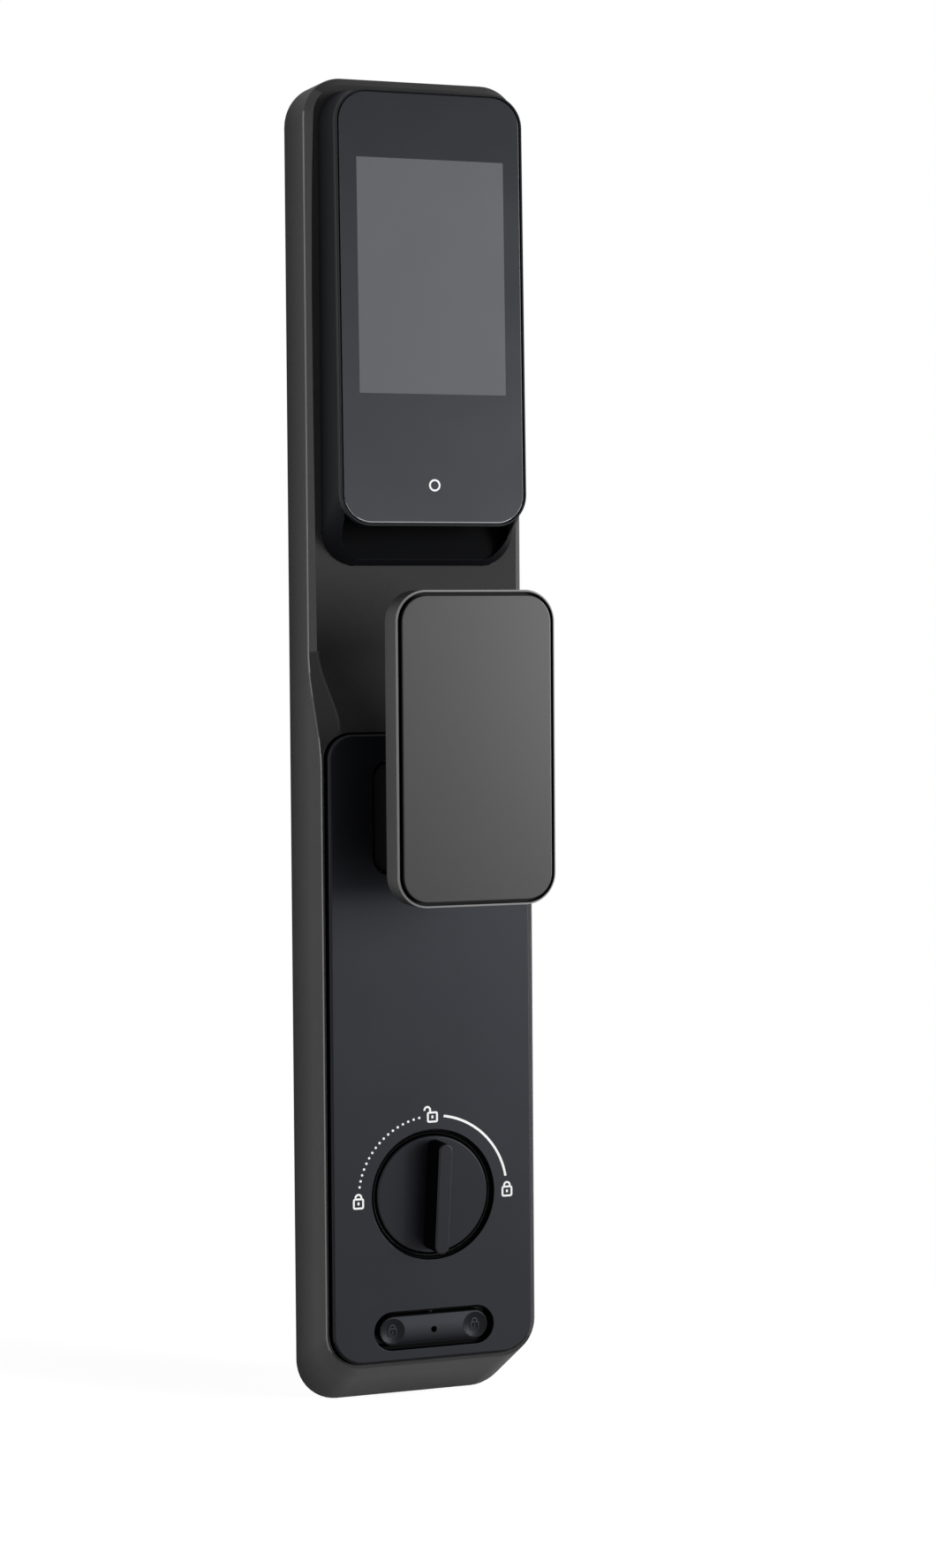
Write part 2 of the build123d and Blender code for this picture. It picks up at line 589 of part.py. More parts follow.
def screen_slab(width, height, corner, back, front, rise=0, mode=Mode.ADD):
    """A rounded rectangle square to the glass, between two offsets from its front."""
    extrude(screen_outline(width, height, corner, rise, back), amount=front - back, mode=mode)


def housing_room(floor_depth):
    """The inside of the screen housing, from its floor out through its open front."""
    wall = 2 * HOUSING_WALL
    floor = rounded(HOUSING_FOOT_WIDTH - wall, HOUSING_FOOT_BOTTOM + HOUSING_WALL,
                    HOUSING_FOOT_TOP - HOUSING_WALL, HOUSING_FOOT_CORNER - HOUSING_WALL, floor_depth)
    mouth = screen_outline(bezel_width - wall, bezel_height - wall, bezel_corner - HOUSING_WALL,
                           0, BEZEL_BACK)
    return [floor, mouth]


with BuildPart() as screen_housing:
    foot = rounded(HOUSING_FOOT_WIDTH, HOUSING_FOOT_BOTTOM, HOUSING_FOOT_TOP, HOUSING_FOOT_CORNER,
                   UPPER_DEPTH)
    loft([foot, screen_outline(bezel_width, bezel_height, bezel_corner, 0, -BEZEL_BACK)], ruled=True)
    loft(housing_room(UPPER_DEPTH + HOUSING_FLOOR), ruled=True, mode=Mode.SUBTRACT)
    rods(screen_spots, SCREEN_POST_RADIUS, UPPER_DEPTH + HOUSING_FLOOR / 2, DISPLAY_BOARD_DEPTH)
    rods(screen_spots, SMALL_SCREW_RADIUS + SCREW_GAP, UPPER_DEPTH, DISPLAY_BOARD_DEPTH, mode=Mode.SUBTRACT)
    block(-RIBBON_WIDTH / 2 - FREE_GAP, RIBBON_WIDTH / 2 + FREE_GAP, RIBBON_Z - RIBBON_SLOT / 2,
          RIBBON_Z + RIBBON_SLOT / 2, UPPER_DEPTH, UPPER_DEPTH + HOUSING_FLOOR, mode=Mode.SUBTRACT)
save(screen_housing, "screen_housing")

with BuildPart() as screen_bezel:
    screen_slab(bezel_width, bezel_height, bezel_corner, -BEZEL_BACK, -BEZEL_SETBACK)
    screen_slab(GLASS_WIDTH + 2 * GLASS_GAP, GLASS_HEIGHT + 2 * GLASS_GAP, GLASS_CORNER + GLASS_GAP,
                -GLASS_THICKNESS, 0, mode=Mode.SUBTRACT)
    screen_slab(GLASS_WIDTH - 2 * BEZEL_LEDGE, GLASS_HEIGHT - 2 * BEZEL_LEDGE, GLASS_CORNER - BEZEL_LEDGE,
                -BEZEL_BACK, 0, mode=Mode.SUBTRACT)
save(screen_bezel, "screen_bezel")

with BuildPart() as cover_glass:
    screen_slab(GLASS_WIDTH, GLASS_HEIGHT, GLASS_CORNER, -GLASS_THICKNESS, 0)
save(cover_glass, "cover_glass")

with BuildPart() as display_panel:
    screen_slab(DISPLAY_WIDTH, DISPLAY_HEIGHT, BOARD_CORNER, -GLASS_THICKNESS - DISPLAY_THICKNESS,
                -GLASS_THICKNESS, rise=DISPLAY_RISE)
save(display_panel, "display_panel")

with BuildPart() as display_board:
    slab(DISPLAY_BOARD_WIDTH, DISPLAY_BOARD_BOTTOM, DISPLAY_BOARD_TOP, BOARD_CORNER,
         DISPLAY_BOARD_DEPTH, DISPLAY_BOARD_DEPTH + BOARD_THICKNESS)
    rods(screen_spots, SMALL_SCREW_RADIUS + SCREW_GAP, DISPLAY_BOARD_DEPTH,
         DISPLAY_BOARD_DEPTH + BOARD_THICKNESS, mode=Mode.SUBTRACT)
save(display_board, "display_board")

with BuildPart() as screen_screws:
    screws(screen_spots, SMALL_SCREW_RADIUS, cavity_front, SCREEN_SCREW_END)
save(screen_screws, "screen_screws")

# ================================================================ upper electronics
main_board_front = MAIN_BOARD_DEPTH + BOARD_THICKNESS
display_board_front = DISPLAY_BOARD_DEPTH + BOARD_THICKNESS

with BuildPart() as main_board:
    slab(MAIN_BOARD_WIDTH, MAIN_BOARD_BOTTOM, MAIN_BOARD_TOP, BOARD_CORNER,
         MAIN_BOARD_DEPTH, main_board_front)
    rods(screen_spots, SMALL_SCREW_RADIUS + SCREW_GAP, MAIN_BOARD_DEPTH, main_board_front, mode=Mode.SUBTRACT)
save(main_board, "main_board")

with BuildPart() as board_chips:
    for x, rise, size in CHIP_SPOTS:
        z = (MAIN_BOARD_BOTTOM + MAIN_BOARD_TOP) / 2 + rise
        block(x - size / 2, x + size / 2, z - size / 2, z + size / 2,
              main_board_front, main_board_front + CHIP_HEIGHT)
save(board_chips, "board_chips")

with BuildPart() as board_connectors:
    for back in (main_board_front, DISPLAY_BOARD_DEPTH - CONNECTOR_HEIGHT):
        block(-RIBBON_WIDTH / 2, RIBBON_WIDTH / 2, RIBBON_Z - CONNECTOR_DEPTH / 2,
              RIBBON_Z + CONNECTOR_DEPTH / 2, back, back + CONNECTOR_HEIGHT)
save(board_connectors, "board_connectors")

with BuildPart() as display_ribbon:
    block(-RIBBON_WIDTH / 2, RIBBON_WIDTH / 2,
          RIBBON_Z - RIBBON_THICKNESS / 2, RIBBON_Z + RIBBON_THICKNESS / 2,
          main_board_front + CONNECTOR_HEIGHT, DISPLAY_BOARD_DEPTH - CONNECTOR_HEIGHT)
save(display_ribbon, "display_ribbon")

with BuildPart() as board_screws:
    screws(screen_spots, SMALL_SCREW_RADIUS, main_board_front, main_board_front - SHORT_SCREW_LENGTH)
    screws(screen_spots, SMALL_SCREW_RADIUS, display_board_front, display_board_front - SHORT_SCREW_LENGTH)
save(board_screws, "board_screws")

with BuildPart() as speaker:
    rods([(0, SPEAKER_Z)], SPEAKER_RADIUS, cavity_front - SPEAKER_HEIGHT, cavity_front)
    rods([(0, SPEAKER_Z)], SPEAKER_RADIUS / 2, cavity_front - SPEAKER_HEIGHT - 1, cavity_front)
save(speaker, "speaker")

# ================================================================ lower panel
with BuildPart() as lower_panel:
    extrude(panel_outline(0, DECK_DEPTH), amount=PANEL_FRONT - DECK_DEPTH)
    fillet(lower_panel.faces().sort_by(Axis.Y)[0].edges(), PANEL_EDGE)
    extrude(panel_outline(-PANEL_SKIRT, DECK_DEPTH), amount=PANEL_FRONT - PANEL_PLATE - DECK_DEPTH,
            mode=Mode.SUBTRACT)
    slab(swing_width, swing_low, swing_high, swing_corner, DECK_DEPTH, PANEL_FRONT, mode=Mode.SUBTRACT)
    rods([(0, TURN_Z)], TURN_HOLE_RADIUS, DECK_DEPTH, PANEL_FRONT, mode=Mode.SUBTRACT)
    stadium(ROCKER_HOLE_WIDTH, ROCKER_HOLE_HEIGHT, ROCKER_Z, DECK_DEPTH, PANEL_FRONT, mode=Mode.SUBTRACT)
save(lower_panel, "lower_panel")

# ================================================================ push-pull handle
with BuildPart() as handle_frame:
    slab(HANDLE_WIDTH, HANDLE_BOTTOM, HANDLE_TOP, HANDLE_CORNER, HANDLE_BACK, HANDLE_RIM)
    fillet(handle_frame.faces().sort_by(Axis.Y)[-1].edges(), HANDLE_BACK_EDGE)
    chamfer(handle_frame.faces().sort_by(Axis.Y)[0].edges(), length=HANDLE_EDGE)
    slab(insert_width + 2 * INSERT_GAP, insert_low - INSERT_GAP, insert_high + INSERT_GAP,
         insert_corner + INSERT_GAP, INSERT_FRONT - INSERT_THICKNESS, HANDLE_RIM, mode=Mode.SUBTRACT)
    slab(insert_width - 2 * INSERT_LEDGE, insert_low + INSERT_LEDGE, insert_high - INSERT_LEDGE,
         insert_corner - INSERT_LEDGE, HANDLE_BACK + HANDLE_FLOOR, HANDLE_RIM, mode=Mode.SUBTRACT)
    rods(handle_screw_spots, HANDLE_SCREW_RADIUS + SCREW_GAP, HANDLE_BACK, HANDLE_RIM, mode=Mode.SUBTRACT)
save(handle_frame, "handle_frame")

with BuildPart() as handle_insert:
    slab(insert_width, insert_low, insert_high, insert_corner, INSERT_FRONT - INSERT_THICKNESS, INSERT_FRONT)
    fillet(handle_insert.faces().sort_by(Axis.Y)[0].edges(), INSERT_EDGE)
save(handle_insert, "handle_insert")

with BuildPart() as handle_stem:
    slab(STEM_WIDTH, stem_low, stem_high, STEM_CORNER, STEM_BACK, HANDLE_BACK)
    cross_rod(STEM_WIDTH, PIVOT_RADIUS + RUNNING_GAP, PIVOT_DEPTH, STEM_Z, mode=Mode.SUBTRACT)
    rods(handle_screw_spots, HANDLE_SCREW_RADIUS + SCREW_GAP, HANDLE_SCREW_END - FREE_GAP, HANDLE_BACK,
         mode=Mode.SUBTRACT)
    rods(arm_spots, SMALL_SCREW_RADIUS + SCREW_GAP, STEM_BACK, ARM_SCREW_END + FREE_GAP, mode=Mode.SUBTRACT)
save(handle_stem, "handle_stem")

with BuildPart() as handle_screws:
    screws(handle_screw_spots, HANDLE_SCREW_RADIUS, HANDLE_BACK + HANDLE_FLOOR, HANDLE_SCREW_END)
save(handle_screws, "handle_screws")

with BuildPart() as pivot_bracket:
    block(-BRACKET_WIDTH / 2, BRACKET_WIDTH / 2, BRACKET_BOTTOM, BRACKET_TOP, DECK_DEPTH, BRACKET_FRONT)
    slab(swing_width, swing_low, swing_high, swing_corner, DECK_DEPTH, BRACKET_FRONT, mode=Mode.SUBTRACT)
    cross_rod(BRACKET_WIDTH / 2, PIVOT_RADIUS + RUNNING_GAP, PIVOT_DEPTH, STEM_Z, mode=Mode.SUBTRACT)
    rods(bracket_spots, BRACKET_SCREW_RADIUS + SCREW_GAP, DECK_DEPTH, BRACKET_FRONT, mode=Mode.SUBTRACT)
    rods(bracket_spots, BRACKET_SCREW_RADIUS * HEAD_RATIO + SCREW_GAP, bracket_screw_seat, BRACKET_FRONT,
         mode=Mode.SUBTRACT)
save(pivot_bracket, "pivot_bracket")

with BuildPart() as bracket_screws:
    screws(bracket_spots, BRACKET_SCREW_RADIUS, bracket_screw_seat, deck_back)
save(bracket_screws, "bracket_screws")

with BuildPart() as pivot_pin:
    cross_rod(BRACKET_WIDTH / 2, PIVOT_RADIUS, PIVOT_DEPTH, STEM_Z)
save(pivot_pin, "pivot_pin")

# ================================================================ drive from handle to spindle
with BuildPart() as drive_arm:
    block(-ARM_FLANGE_WIDTH / 2, ARM_FLANGE_WIDTH / 2, STEM_Z - ARM_FLANGE_HEIGHT / 2,
          STEM_Z + ARM_FLANGE_HEIGHT / 2, STEM_BACK - ARM_FLANGE, STEM_BACK)
    rods(arm_spots, SMALL_SCREW_RADIUS + SCREW_GAP, STEM_BACK - ARM_FLANGE, STEM_BACK, mode=Mode.SUBTRACT)
    for side in (-1, 1):
        middle = side * arm_x
        block(middle - ARM_WIDTH / 2, middle + ARM_WIDTH / 2, STEM_Z - ARM_END_RADIUS,
              STEM_Z + ARM_END_RADIUS, DRIVE_PIN_DEPTH, STEM_BACK - ARM_FLANGE)
        with BuildSketch(Plane.YZ.offset(middle - ARM_WIDTH / 2)) as arm_end:
            with Locations((-DRIVE_PIN_DEPTH, STEM_Z)):
                Circle(ARM_END_RADIUS)
        extrude(amount=ARM_WIDTH)
    cross_rod(DRIVE_PIN_LENGTH / 2, DRIVE_PIN_RADIUS + RUNNING_GAP, DRIVE_PIN_DEPTH, STEM_Z,
              mode=Mode.SUBTRACT)
save(drive_arm, "drive_arm")

with BuildPart() as arm_screws:
    screws(arm_spots, SMALL_SCREW_RADIUS, STEM_BACK - ARM_FLANGE, ARM_SCREW_END)
save(arm_screws, "arm_screws")

with BuildPart() as drive_pin:
    cross_rod(DRIVE_PIN_LENGTH / 2, DRIVE_PIN_RADIUS, DRIVE_PIN_DEPTH, STEM_Z)
save(drive_pin, "drive_pin")

with BuildPart() as drive_slider:
    block(-SLIDER_HALF_WIDTH, SLIDER_HALF_WIDTH, SLIDER_BOTTOM, SLIDER_TOP, SLIDER_BACK, slider_front)
    # window that the two arms reach through, with a fork for the pin on each side of it
    block(-fork_inner_x, fork_inner_x, STEM_Z - ARM_WINDOW_RISE, STEM_Z + ARM_WINDOW_RISE,
          SLIDER_BACK, slider_front, mode=Mode.SUBTRACT)
    for side in (-1, 1):
        middle = side * (fork_inner_x + DRIVE_PIN_LENGTH / 2) / 2
        width = DRIVE_PIN_LENGTH / 2 - fork_inner_x
        block(middle - width / 2, middle + width / 2, STEM_Z - FORK_HEIGHT / 2, STEM_Z + FORK_HEIGHT / 2,
              SLIDER_BACK, FORK_FRONT)
        slot_half = DRIVE_PIN_RADIUS + SLIDE_GAP
        block(middle - width, middle + width, STEM_Z - slot_half, STEM_Z + slot_half,
              DRIVE_PIN_DEPTH - slot_half, FORK_FRONT, mode=Mode.SUBTRACT)
    # window around the hub, open on one side for the crank pin
    hub_room = hub_body_radius + FREE_GAP
    block(-hub_room, hub_room, HUB_Z - hub_room - SLIDER_TRAVEL, HUB_Z + hub_room + SLIDER_TRAVEL,
          SLIDER_BACK, slider_front, mode=Mode.SUBTRACT)
    block(0, CRANK_RADIUS + CRANK_PIN_RADIUS + CRANK_SLOT_EXTRA, HUB_Z - CRANK_PIN_RADIUS - SLIDE_GAP,
          HUB_Z + CRANK_PIN_RADIUS + SLIDE_GAP, SLIDER_BACK, slider_front, mode=Mode.SUBTRACT)
save(drive_slider, "drive_slider")

with BuildPart() as spindle_hub:
    rods([(0, HUB_Z)], HUB_RADIUS, HUB_BACK, CRANK_BACK)
    rods([(0, HUB_Z)], hub_body_radius, hub_shoulder_back, CRANK_BACK)
    rods([(0, HUB_Z)], CRANK_DISC_RADIUS, CRANK_BACK, CRANK_BACK + CRANK_THICKNESS)
    block(-SPINDLE_SIDE / 2, SPINDLE_SIDE / 2, HUB_Z - SPINDLE_SIDE / 2, HUB_Z + SPINDLE_SIDE / 2,
          HUB_BACK, SPINDLE_SOCKET, mode=Mode.SUBTRACT)
    rods([(CRANK_RADIUS, HUB_Z)], CRANK_PIN_RADIUS, CRANK_BACK, CRANK_BACK + CRANK_THICKNESS,
         mode=Mode.SUBTRACT)
save(spindle_hub, "spindle_hub")

with BuildPart() as crank_pin:
    rods([(CRANK_RADIUS, HUB_Z)], CRANK_PIN_RADIUS, SLIDER_BACK, CRANK_BACK + CRANK_THICKNESS)
save(crank_pin, "crank_pin")

with BuildPart() as hub_bushing:
    rods([(0, HUB_Z)], BUSHING_RADIUS, 0, PLATE_THICKNESS)
    rods([(0, HUB_Z)], BUSHING_FLANGE_RADIUS, PLATE_THICKNESS, PLATE_THICKNESS + BUSHING_FLANGE)
    rods([(0, HUB_Z)], HUB_RADIUS + RUNNING_GAP, 0, PLATE_THICKNESS + BUSHING_FLANGE, mode=Mode.SUBTRACT)
save(hub_bushing, "hub_bushing")

with BuildPart() as slider_frame:
    block(-frame_outer_x, frame_outer_x, frame_low - FRAME_WALL, frame_high + FRAME_WALL,
          PLATE_THICKNESS, FRAME_FRONT)
    for low, high in ((frame_low, frame_low + FRAME_LUG_HEIGHT), (frame_high - FRAME_LUG_HEIGHT, frame_high)):
        block(-frame_outer_x - FRAME_LUG_WIDTH, frame_outer_x + FRAME_LUG_WIDTH, low, high,
              PLATE_THICKNESS, FRAME_FRONT)
    block(-frame_inner_x, frame_inner_x, frame_low, frame_high, SLIDER_BACK - SLIDE_GAP, FRAME_FRONT,
          mode=Mode.SUBTRACT)
    block(-FRAME_LIP_X, FRAME_LIP_X, frame_low, frame_high, PLATE_THICKNESS, FRAME_FRONT, mode=Mode.SUBTRACT)
    rods(cover_spots, SMALL_SCREW_RADIUS + SCREW_GAP, PLATE_THICKNESS, FRAME_FRONT, mode=Mode.SUBTRACT)
save(slider_frame, "slider_frame")

with BuildPart() as slider_cover:
    block(-frame_outer_x - FRAME_LUG_WIDTH, frame_outer_x + FRAME_LUG_WIDTH, frame_low - FRAME_WALL,
          frame_high + FRAME_WALL, FRAME_FRONT, cover_front)
    block(-COVER_WINDOW_X, COVER_WINDOW_X, STEM_Z - COVER_WINDOW_RISE, STEM_Z + COVER_WINDOW_RISE,
          FRAME_FRONT, cover_front, mode=Mode.SUBTRACT)
    rods(cover_spots, SMALL_SCREW_RADIUS + SCREW_GAP, FRAME_FRONT, cover_front, mode=Mode.SUBTRACT)
    for side in (-1, 1):
        middle = side * (FRAME_LIP_X + SLIDER_HALF_WIDTH) / 2
        width = SLIDER_HALF_WIDTH - FRAME_LIP_X
        block(middle - width / 2, middle + width / 2, frame_low + SLIDE_GAP, COVER_LIP_TOP,
              slider_front + SLIDE_GAP, FRAME_FRONT)
save(slider_cover, "slider_cover")

with BuildPart() as cover_screws:
    screws(cover_spots, SMALL_SCREW_RADIUS, cover_front, PLATE_THICKNESS / 2)
save(cover_screws, "cover_screws")


def coil_spring(low, name):
    """A compression spring along Z, from the height low, as long as SPRING_LENGTH."""
    height = SPRING_LENGTH - 2 * SPRING_WIRE
    with BuildPart() as spring:
        with BuildLine() as path:
            Helix(height / SPRING_TURNS, height, SPRING_RADIUS, center=(0, -spring_depth, low + SPRING_WIRE))
        with BuildSketch(path.line ^ 0) as wire:
            Circle(SPRING_WIRE)
        sweep(wire.sketch, path=path.line)
    save(spring, name)


coil_spring(frame_low, "lower_spring")
coil_spring(SLIDER_TOP, "upper_spring")

# ================================================================ thumbturn
turn_spot = [(0, TURN_Z)]
bezel_radius = TURN_HOLE_RADIUS - TURN_BEZEL_GAP
shaft_front = collar_back + SHAFT_SPIGOT

with BuildPart() as thumbturn_bezel:
    rods(turn_spot, bezel_radius, DECK_DEPTH, TURN_BEZEL_FRONT)
    rods(turn_spot, bezel_radius - TURN_BEZEL_WIDTH, DECK_DEPTH, TURN_BEZEL_FRONT, mode=Mode.SUBTRACT)
save(thumbturn_bezel, "thumbturn_bezel")

with BuildPart() as thumbturn_bushing:
    rods(turn_spot, TURN_BUSHING_RADIUS, deck_back, DECK_DEPTH)
    rods(turn_spot, TURN_FLANGE_RADIUS, DECK_DEPTH, DECK_DEPTH + TURN_FLANGE)
    rods(turn_spot, SHAFT_RADIUS + RUNNING_GAP, deck_back, DECK_DEPTH + TURN_FLANGE, mode=Mode.SUBTRACT)
save(thumbturn_bushing, "thumbturn_bushing")

with BuildPart() as thumbturn_knob:
    rods(turn_spot, TURN_DISC_RADIUS, TURN_DISC_BACK, TURN_DISC_FRONT)
    chamfer(thumbturn_knob.faces().sort_by(Axis.Y)[0].edges(), length=TURN_DISC_EDGE)
    rods(turn_spot, TURN_COLLAR_RADIUS, collar_back, TURN_DISC_BACK)
    rods(turn_spot, SHAFT_RADIUS, collar_back, shaft_front, mode=Mode.SUBTRACT)
    with BuildSketch(front_plane(TURN_DISC_FRONT)) as bar_outline:
        with Locations((0, TURN_Z)):
            SlotOverall(TURN_BAR_LENGTH, TURN_BAR_WIDTH, rotation=90 - TURN_LEAN)
    extrude(amount=TURN_BAR_HEIGHT)
    fillet(thumbturn_knob.faces().sort_by(Axis.Y)[0].edges(), TURN_BAR_EDGE)
save(thumbturn_knob, "thumbturn_knob")

clip_front = deck_back - SLIDE_GAP
clip_back = clip_front - CLIP_THICKNESS

with BuildPart() as thumbturn_shaft:
    rods(turn_spot, SHAFT_RADIUS, SHAFT_BACK, shaft_front)
    block(-TAIL_SIDE / 2, TAIL_SIDE / 2, TURN_Z - TAIL_SIDE / 2, TURN_Z + TAIL_SIDE / 2,
          SHAFT_BACK, TAIL_SOCKET, mode=Mode.SUBTRACT)
    with BuildSketch(front_plane(clip_back)) as groove:
        with Locations((0, TURN_Z)):
            Circle(SHAFT_RADIUS)
            Circle(SHAFT_RADIUS - CLIP_GROOVE, mode=Mode.SUBTRACT)
    extrude(amount=CLIP_THICKNESS, mode=Mode.SUBTRACT)
save(thumbturn_shaft, "thumbturn_shaft")

with BuildPart() as shaft_clip:
    rods(turn_spot, CLIP_RADIUS, clip_back, clip_front)
    rods(turn_spot, SHAFT_RADIUS - CLIP_GROOVE + RUNNING_GAP, clip_back, clip_front, mode=Mode.SUBTRACT)
    block(-CLIP_MOUTH / 2, CLIP_MOUTH / 2, TURN_Z - CLIP_RADIUS, TURN_Z, clip_back, clip_front,
          mode=Mode.SUBTRACT)
save(shaft_clip, "shaft_clip")


# ================================================================ thumbturn position sensor
def flank_angle(radius, pitch_radius):
    """Half the angle that a tooth spans at a radius on its involute flank."""
    base_radius = pitch_radius * cos(radians(GEAR_PRESSURE))
    roll = acos(min(1, base_radius / radius))
    pressure = radians(GEAR_PRESSURE)
    thickness = GEAR_MODULE * pi / 2 - GEAR_BACKLASH / 2
    return thickness / (2 * pitch_radius) + (tan(pressure) - pressure) - (tan(roll) - roll)


def gear_face(teeth, spot, depth):
    """The outline of a spur gear at a spot, with a tooth pointing to +X."""
    pitch_radius = GEAR_MODULE * teeth / 2
    root_radius = pitch_radius - GEAR_ROOT * GEAR_MODULE
    tip_radius = pitch_radius + GEAR_MODULE
    low_radius = max(root_radius, pitch_radius * cos(radians(GEAR_PRESSURE)))
    steps = [low_radius + (tip_radius - low_radius) * step / FLANK_STEPS for step in range(FLANK_STEPS + 1)]
    flank = [(root_radius, flank_angle(low_radius, pitch_radius))]
    flank += [(radius, flank_angle(radius, pitch_radius)) for radius in steps]
    points = []
    for tooth in range(teeth):
        middle = 2 * pi * tooth / teeth
        around = [(radius, middle - angle) for radius, angle in flank]
        around += [(radius, middle + angle) for radius, angle in reversed(flank)]
        points += [(spot[0] + radius * cos(angle), spot[1] + radius * sin(angle)) for radius, angle in around]
    with BuildSketch(front_plane(depth)) as outline:
        with BuildLine():
            Polyline(*points, close=True)
        make_face()
    return outline.sketch


sensor_spot = (0, TURN_Z - gear_distance)
sensor_board_front = PLATE_THICKNESS + BOARD_THICKNESS
sensor_front = sensor_board_front + SENSOR_HEIGHT

with BuildPart() as thumb_gear:
    extrude(gear_face(TURN_TEETH, (0, TURN_Z), GEAR_BACK), amount=GEAR_WIDTH)
    rods(turn_spot, SHAFT_RADIUS, GEAR_BACK, GEAR_BACK + GEAR_WIDTH, mode=Mode.SUBTRACT)
save(thumb_gear, "thumb_gear")

with BuildPart() as sensor_gear:
    extrude(gear_face(SENSOR_TEETH, sensor_spot, GEAR_BACK), amount=GEAR_WIDTH)
    rods([sensor_spot], SENSOR_SHOULDER_RADIUS, sensor_front + FREE_GAP, GEAR_BACK)
    rods([sensor_spot], SENSOR_SHAFT_RADIUS, SENSOR_SHAFT_BACK, GEAR_BACK)
save(sensor_gear, "sensor_gear")

with BuildPart() as rotary_sensor:
    with BuildSketch(front_plane(sensor_board_front)) as sensor_outline:
        with Locations(sensor_spot):
            RectangleRounded(SENSOR_SIZE, SENSOR_SIZE, SENSOR_CORNER)
    extrude(amount=SENSOR_HEIGHT)
    rods([sensor_spot], SENSOR_SHAFT_RADIUS + RUNNING_GAP, SENSOR_SHAFT_BACK - FREE_GAP, sensor_front,
         mode=Mode.SUBTRACT)
save(rotary_sensor, "rotary_sensor")

with BuildPart() as sensor_board:
    with BuildSketch(front_plane(PLATE_THICKNESS)) as sensor_board_outline:
        with Locations(sensor_spot):
            RectangleRounded(SENSOR_BOARD_SIZE, SENSOR_BOARD_SIZE, SENSOR_CORNER)
    extrude(amount=BOARD_THICKNESS)
save(sensor_board, "sensor_board")

# ================================================================ battery
battery_back = PLATE_THICKNESS + CRADLE_FLOOR
cradle_margin = BATTERY_GAP + CRADLE_WALL

with BuildPart() as battery_cradle:
    slab(BATTERY_WIDTH + 2 * cradle_margin, BATTERY_BOTTOM - cradle_margin, BATTERY_TOP + cradle_margin,
         BATTERY_CORNER + cradle_margin, PLATE_THICKNESS, CRADLE_FRONT)
    slab(BATTERY_WIDTH + 2 * BATTERY_GAP, BATTERY_BOTTOM - BATTERY_GAP, BATTERY_TOP + BATTERY_GAP,
         BATTERY_CORNER + BATTERY_GAP, battery_back, CRADLE_FRONT, mode=Mode.SUBTRACT)
save(battery_cradle, "battery_cradle")

with BuildPart() as battery_pack:
    slab(BATTERY_WIDTH, BATTERY_BOTTOM, BATTERY_TOP, BATTERY_CORNER, battery_back, BATTERY_FRONT)
    fillet(battery_pack.faces().sort_by(Axis.Y)[0].edges(), BATTERY_CORNER / 2)
save(battery_pack, "battery_pack")

# ================================================================ lock and unlock rocker
rocker_low = ROCKER_Z - ROCKER_HEIGHT / 2
rocker_high = ROCKER_Z + ROCKER_HEIGHT / 2
reset_spot = [(0, ROCKER_Z - PINHOLE_DROP)]
dimple_sphere = (DIMPLE_RADIUS ** 2 + DIMPLE_DEPTH ** 2) / (2 * DIMPLE_DEPTH)

with BuildPart() as rocker_frame:
    slab(ROCKER_FRAME_WIDTH, ROCKER_Z - ROCKER_FRAME_HEIGHT / 2, ROCKER_Z + ROCKER_FRAME_HEIGHT / 2,
         ROCKER_FRAME_CORNER, DECK_DEPTH, ROCKER_FRAME_FRONT)
    block(-ROCKER_ROOM_X, ROCKER_ROOM_X, ROCKER_Z - ROCKER_ROOM_Z, ROCKER_Z + ROCKER_ROOM_Z,
          DECK_DEPTH, ROCKER_FRAME_FRONT, mode=Mode.SUBTRACT)
    upright_rod(ROCKER_PIN_RADIUS + RUNNING_GAP, ROCKER_AXIS_DEPTH, ROCKER_Z - ROCKER_FRAME_HEIGHT / 2,
                ROCKER_Z + ROCKER_FRAME_HEIGHT / 2, mode=Mode.SUBTRACT)
save(rocker_frame, "rocker_frame")

with BuildPart() as lock_rocker:
    stadium(ROCKER_WIDTH, ROCKER_HEIGHT, ROCKER_Z, ROCKER_BACK, ROCKER_FRONT)
    fillet(lock_rocker.faces().sort_by(Axis.Y)[0].edges(), ROCKER_EDGE)
    sphere_y = DIMPLE_DEPTH - ROCKER_FRONT - dimple_sphere
    with Locations((-DIMPLE_X, sphere_y, ROCKER_Z), (DIMPLE_X, sphere_y, ROCKER_Z)):
        Sphere(dimple_sphere, mode=Mode.SUBTRACT)
    rods(reset_spot, PINHOLE_RADIUS, ROCKER_BACK, ROCKER_FRONT, mode=Mode.SUBTRACT)
    upright_rod(ROCKER_PIN_RADIUS, ROCKER_AXIS_DEPTH, rocker_low, rocker_low + ROCKER_PIN_SEAT,
                mode=Mode.SUBTRACT)
    upright_rod(ROCKER_PIN_RADIUS, ROCKER_AXIS_DEPTH, rocker_high - ROCKER_PIN_SEAT, rocker_high,
                mode=Mode.SUBTRACT)
save(lock_rocker, "lock_rocker")

with BuildPart() as rocker_pins:
    upright_rod(ROCKER_PIN_RADIUS, ROCKER_AXIS_DEPTH, rocker_low - ROCKER_PIN_REACH,
                rocker_low + ROCKER_PIN_SEAT)
    upright_rod(ROCKER_PIN_RADIUS, ROCKER_AXIS_DEPTH, rocker_high - ROCKER_PIN_SEAT,
                rocker_high + ROCKER_PIN_REACH)
save(rocker_pins, "rocker_pins")

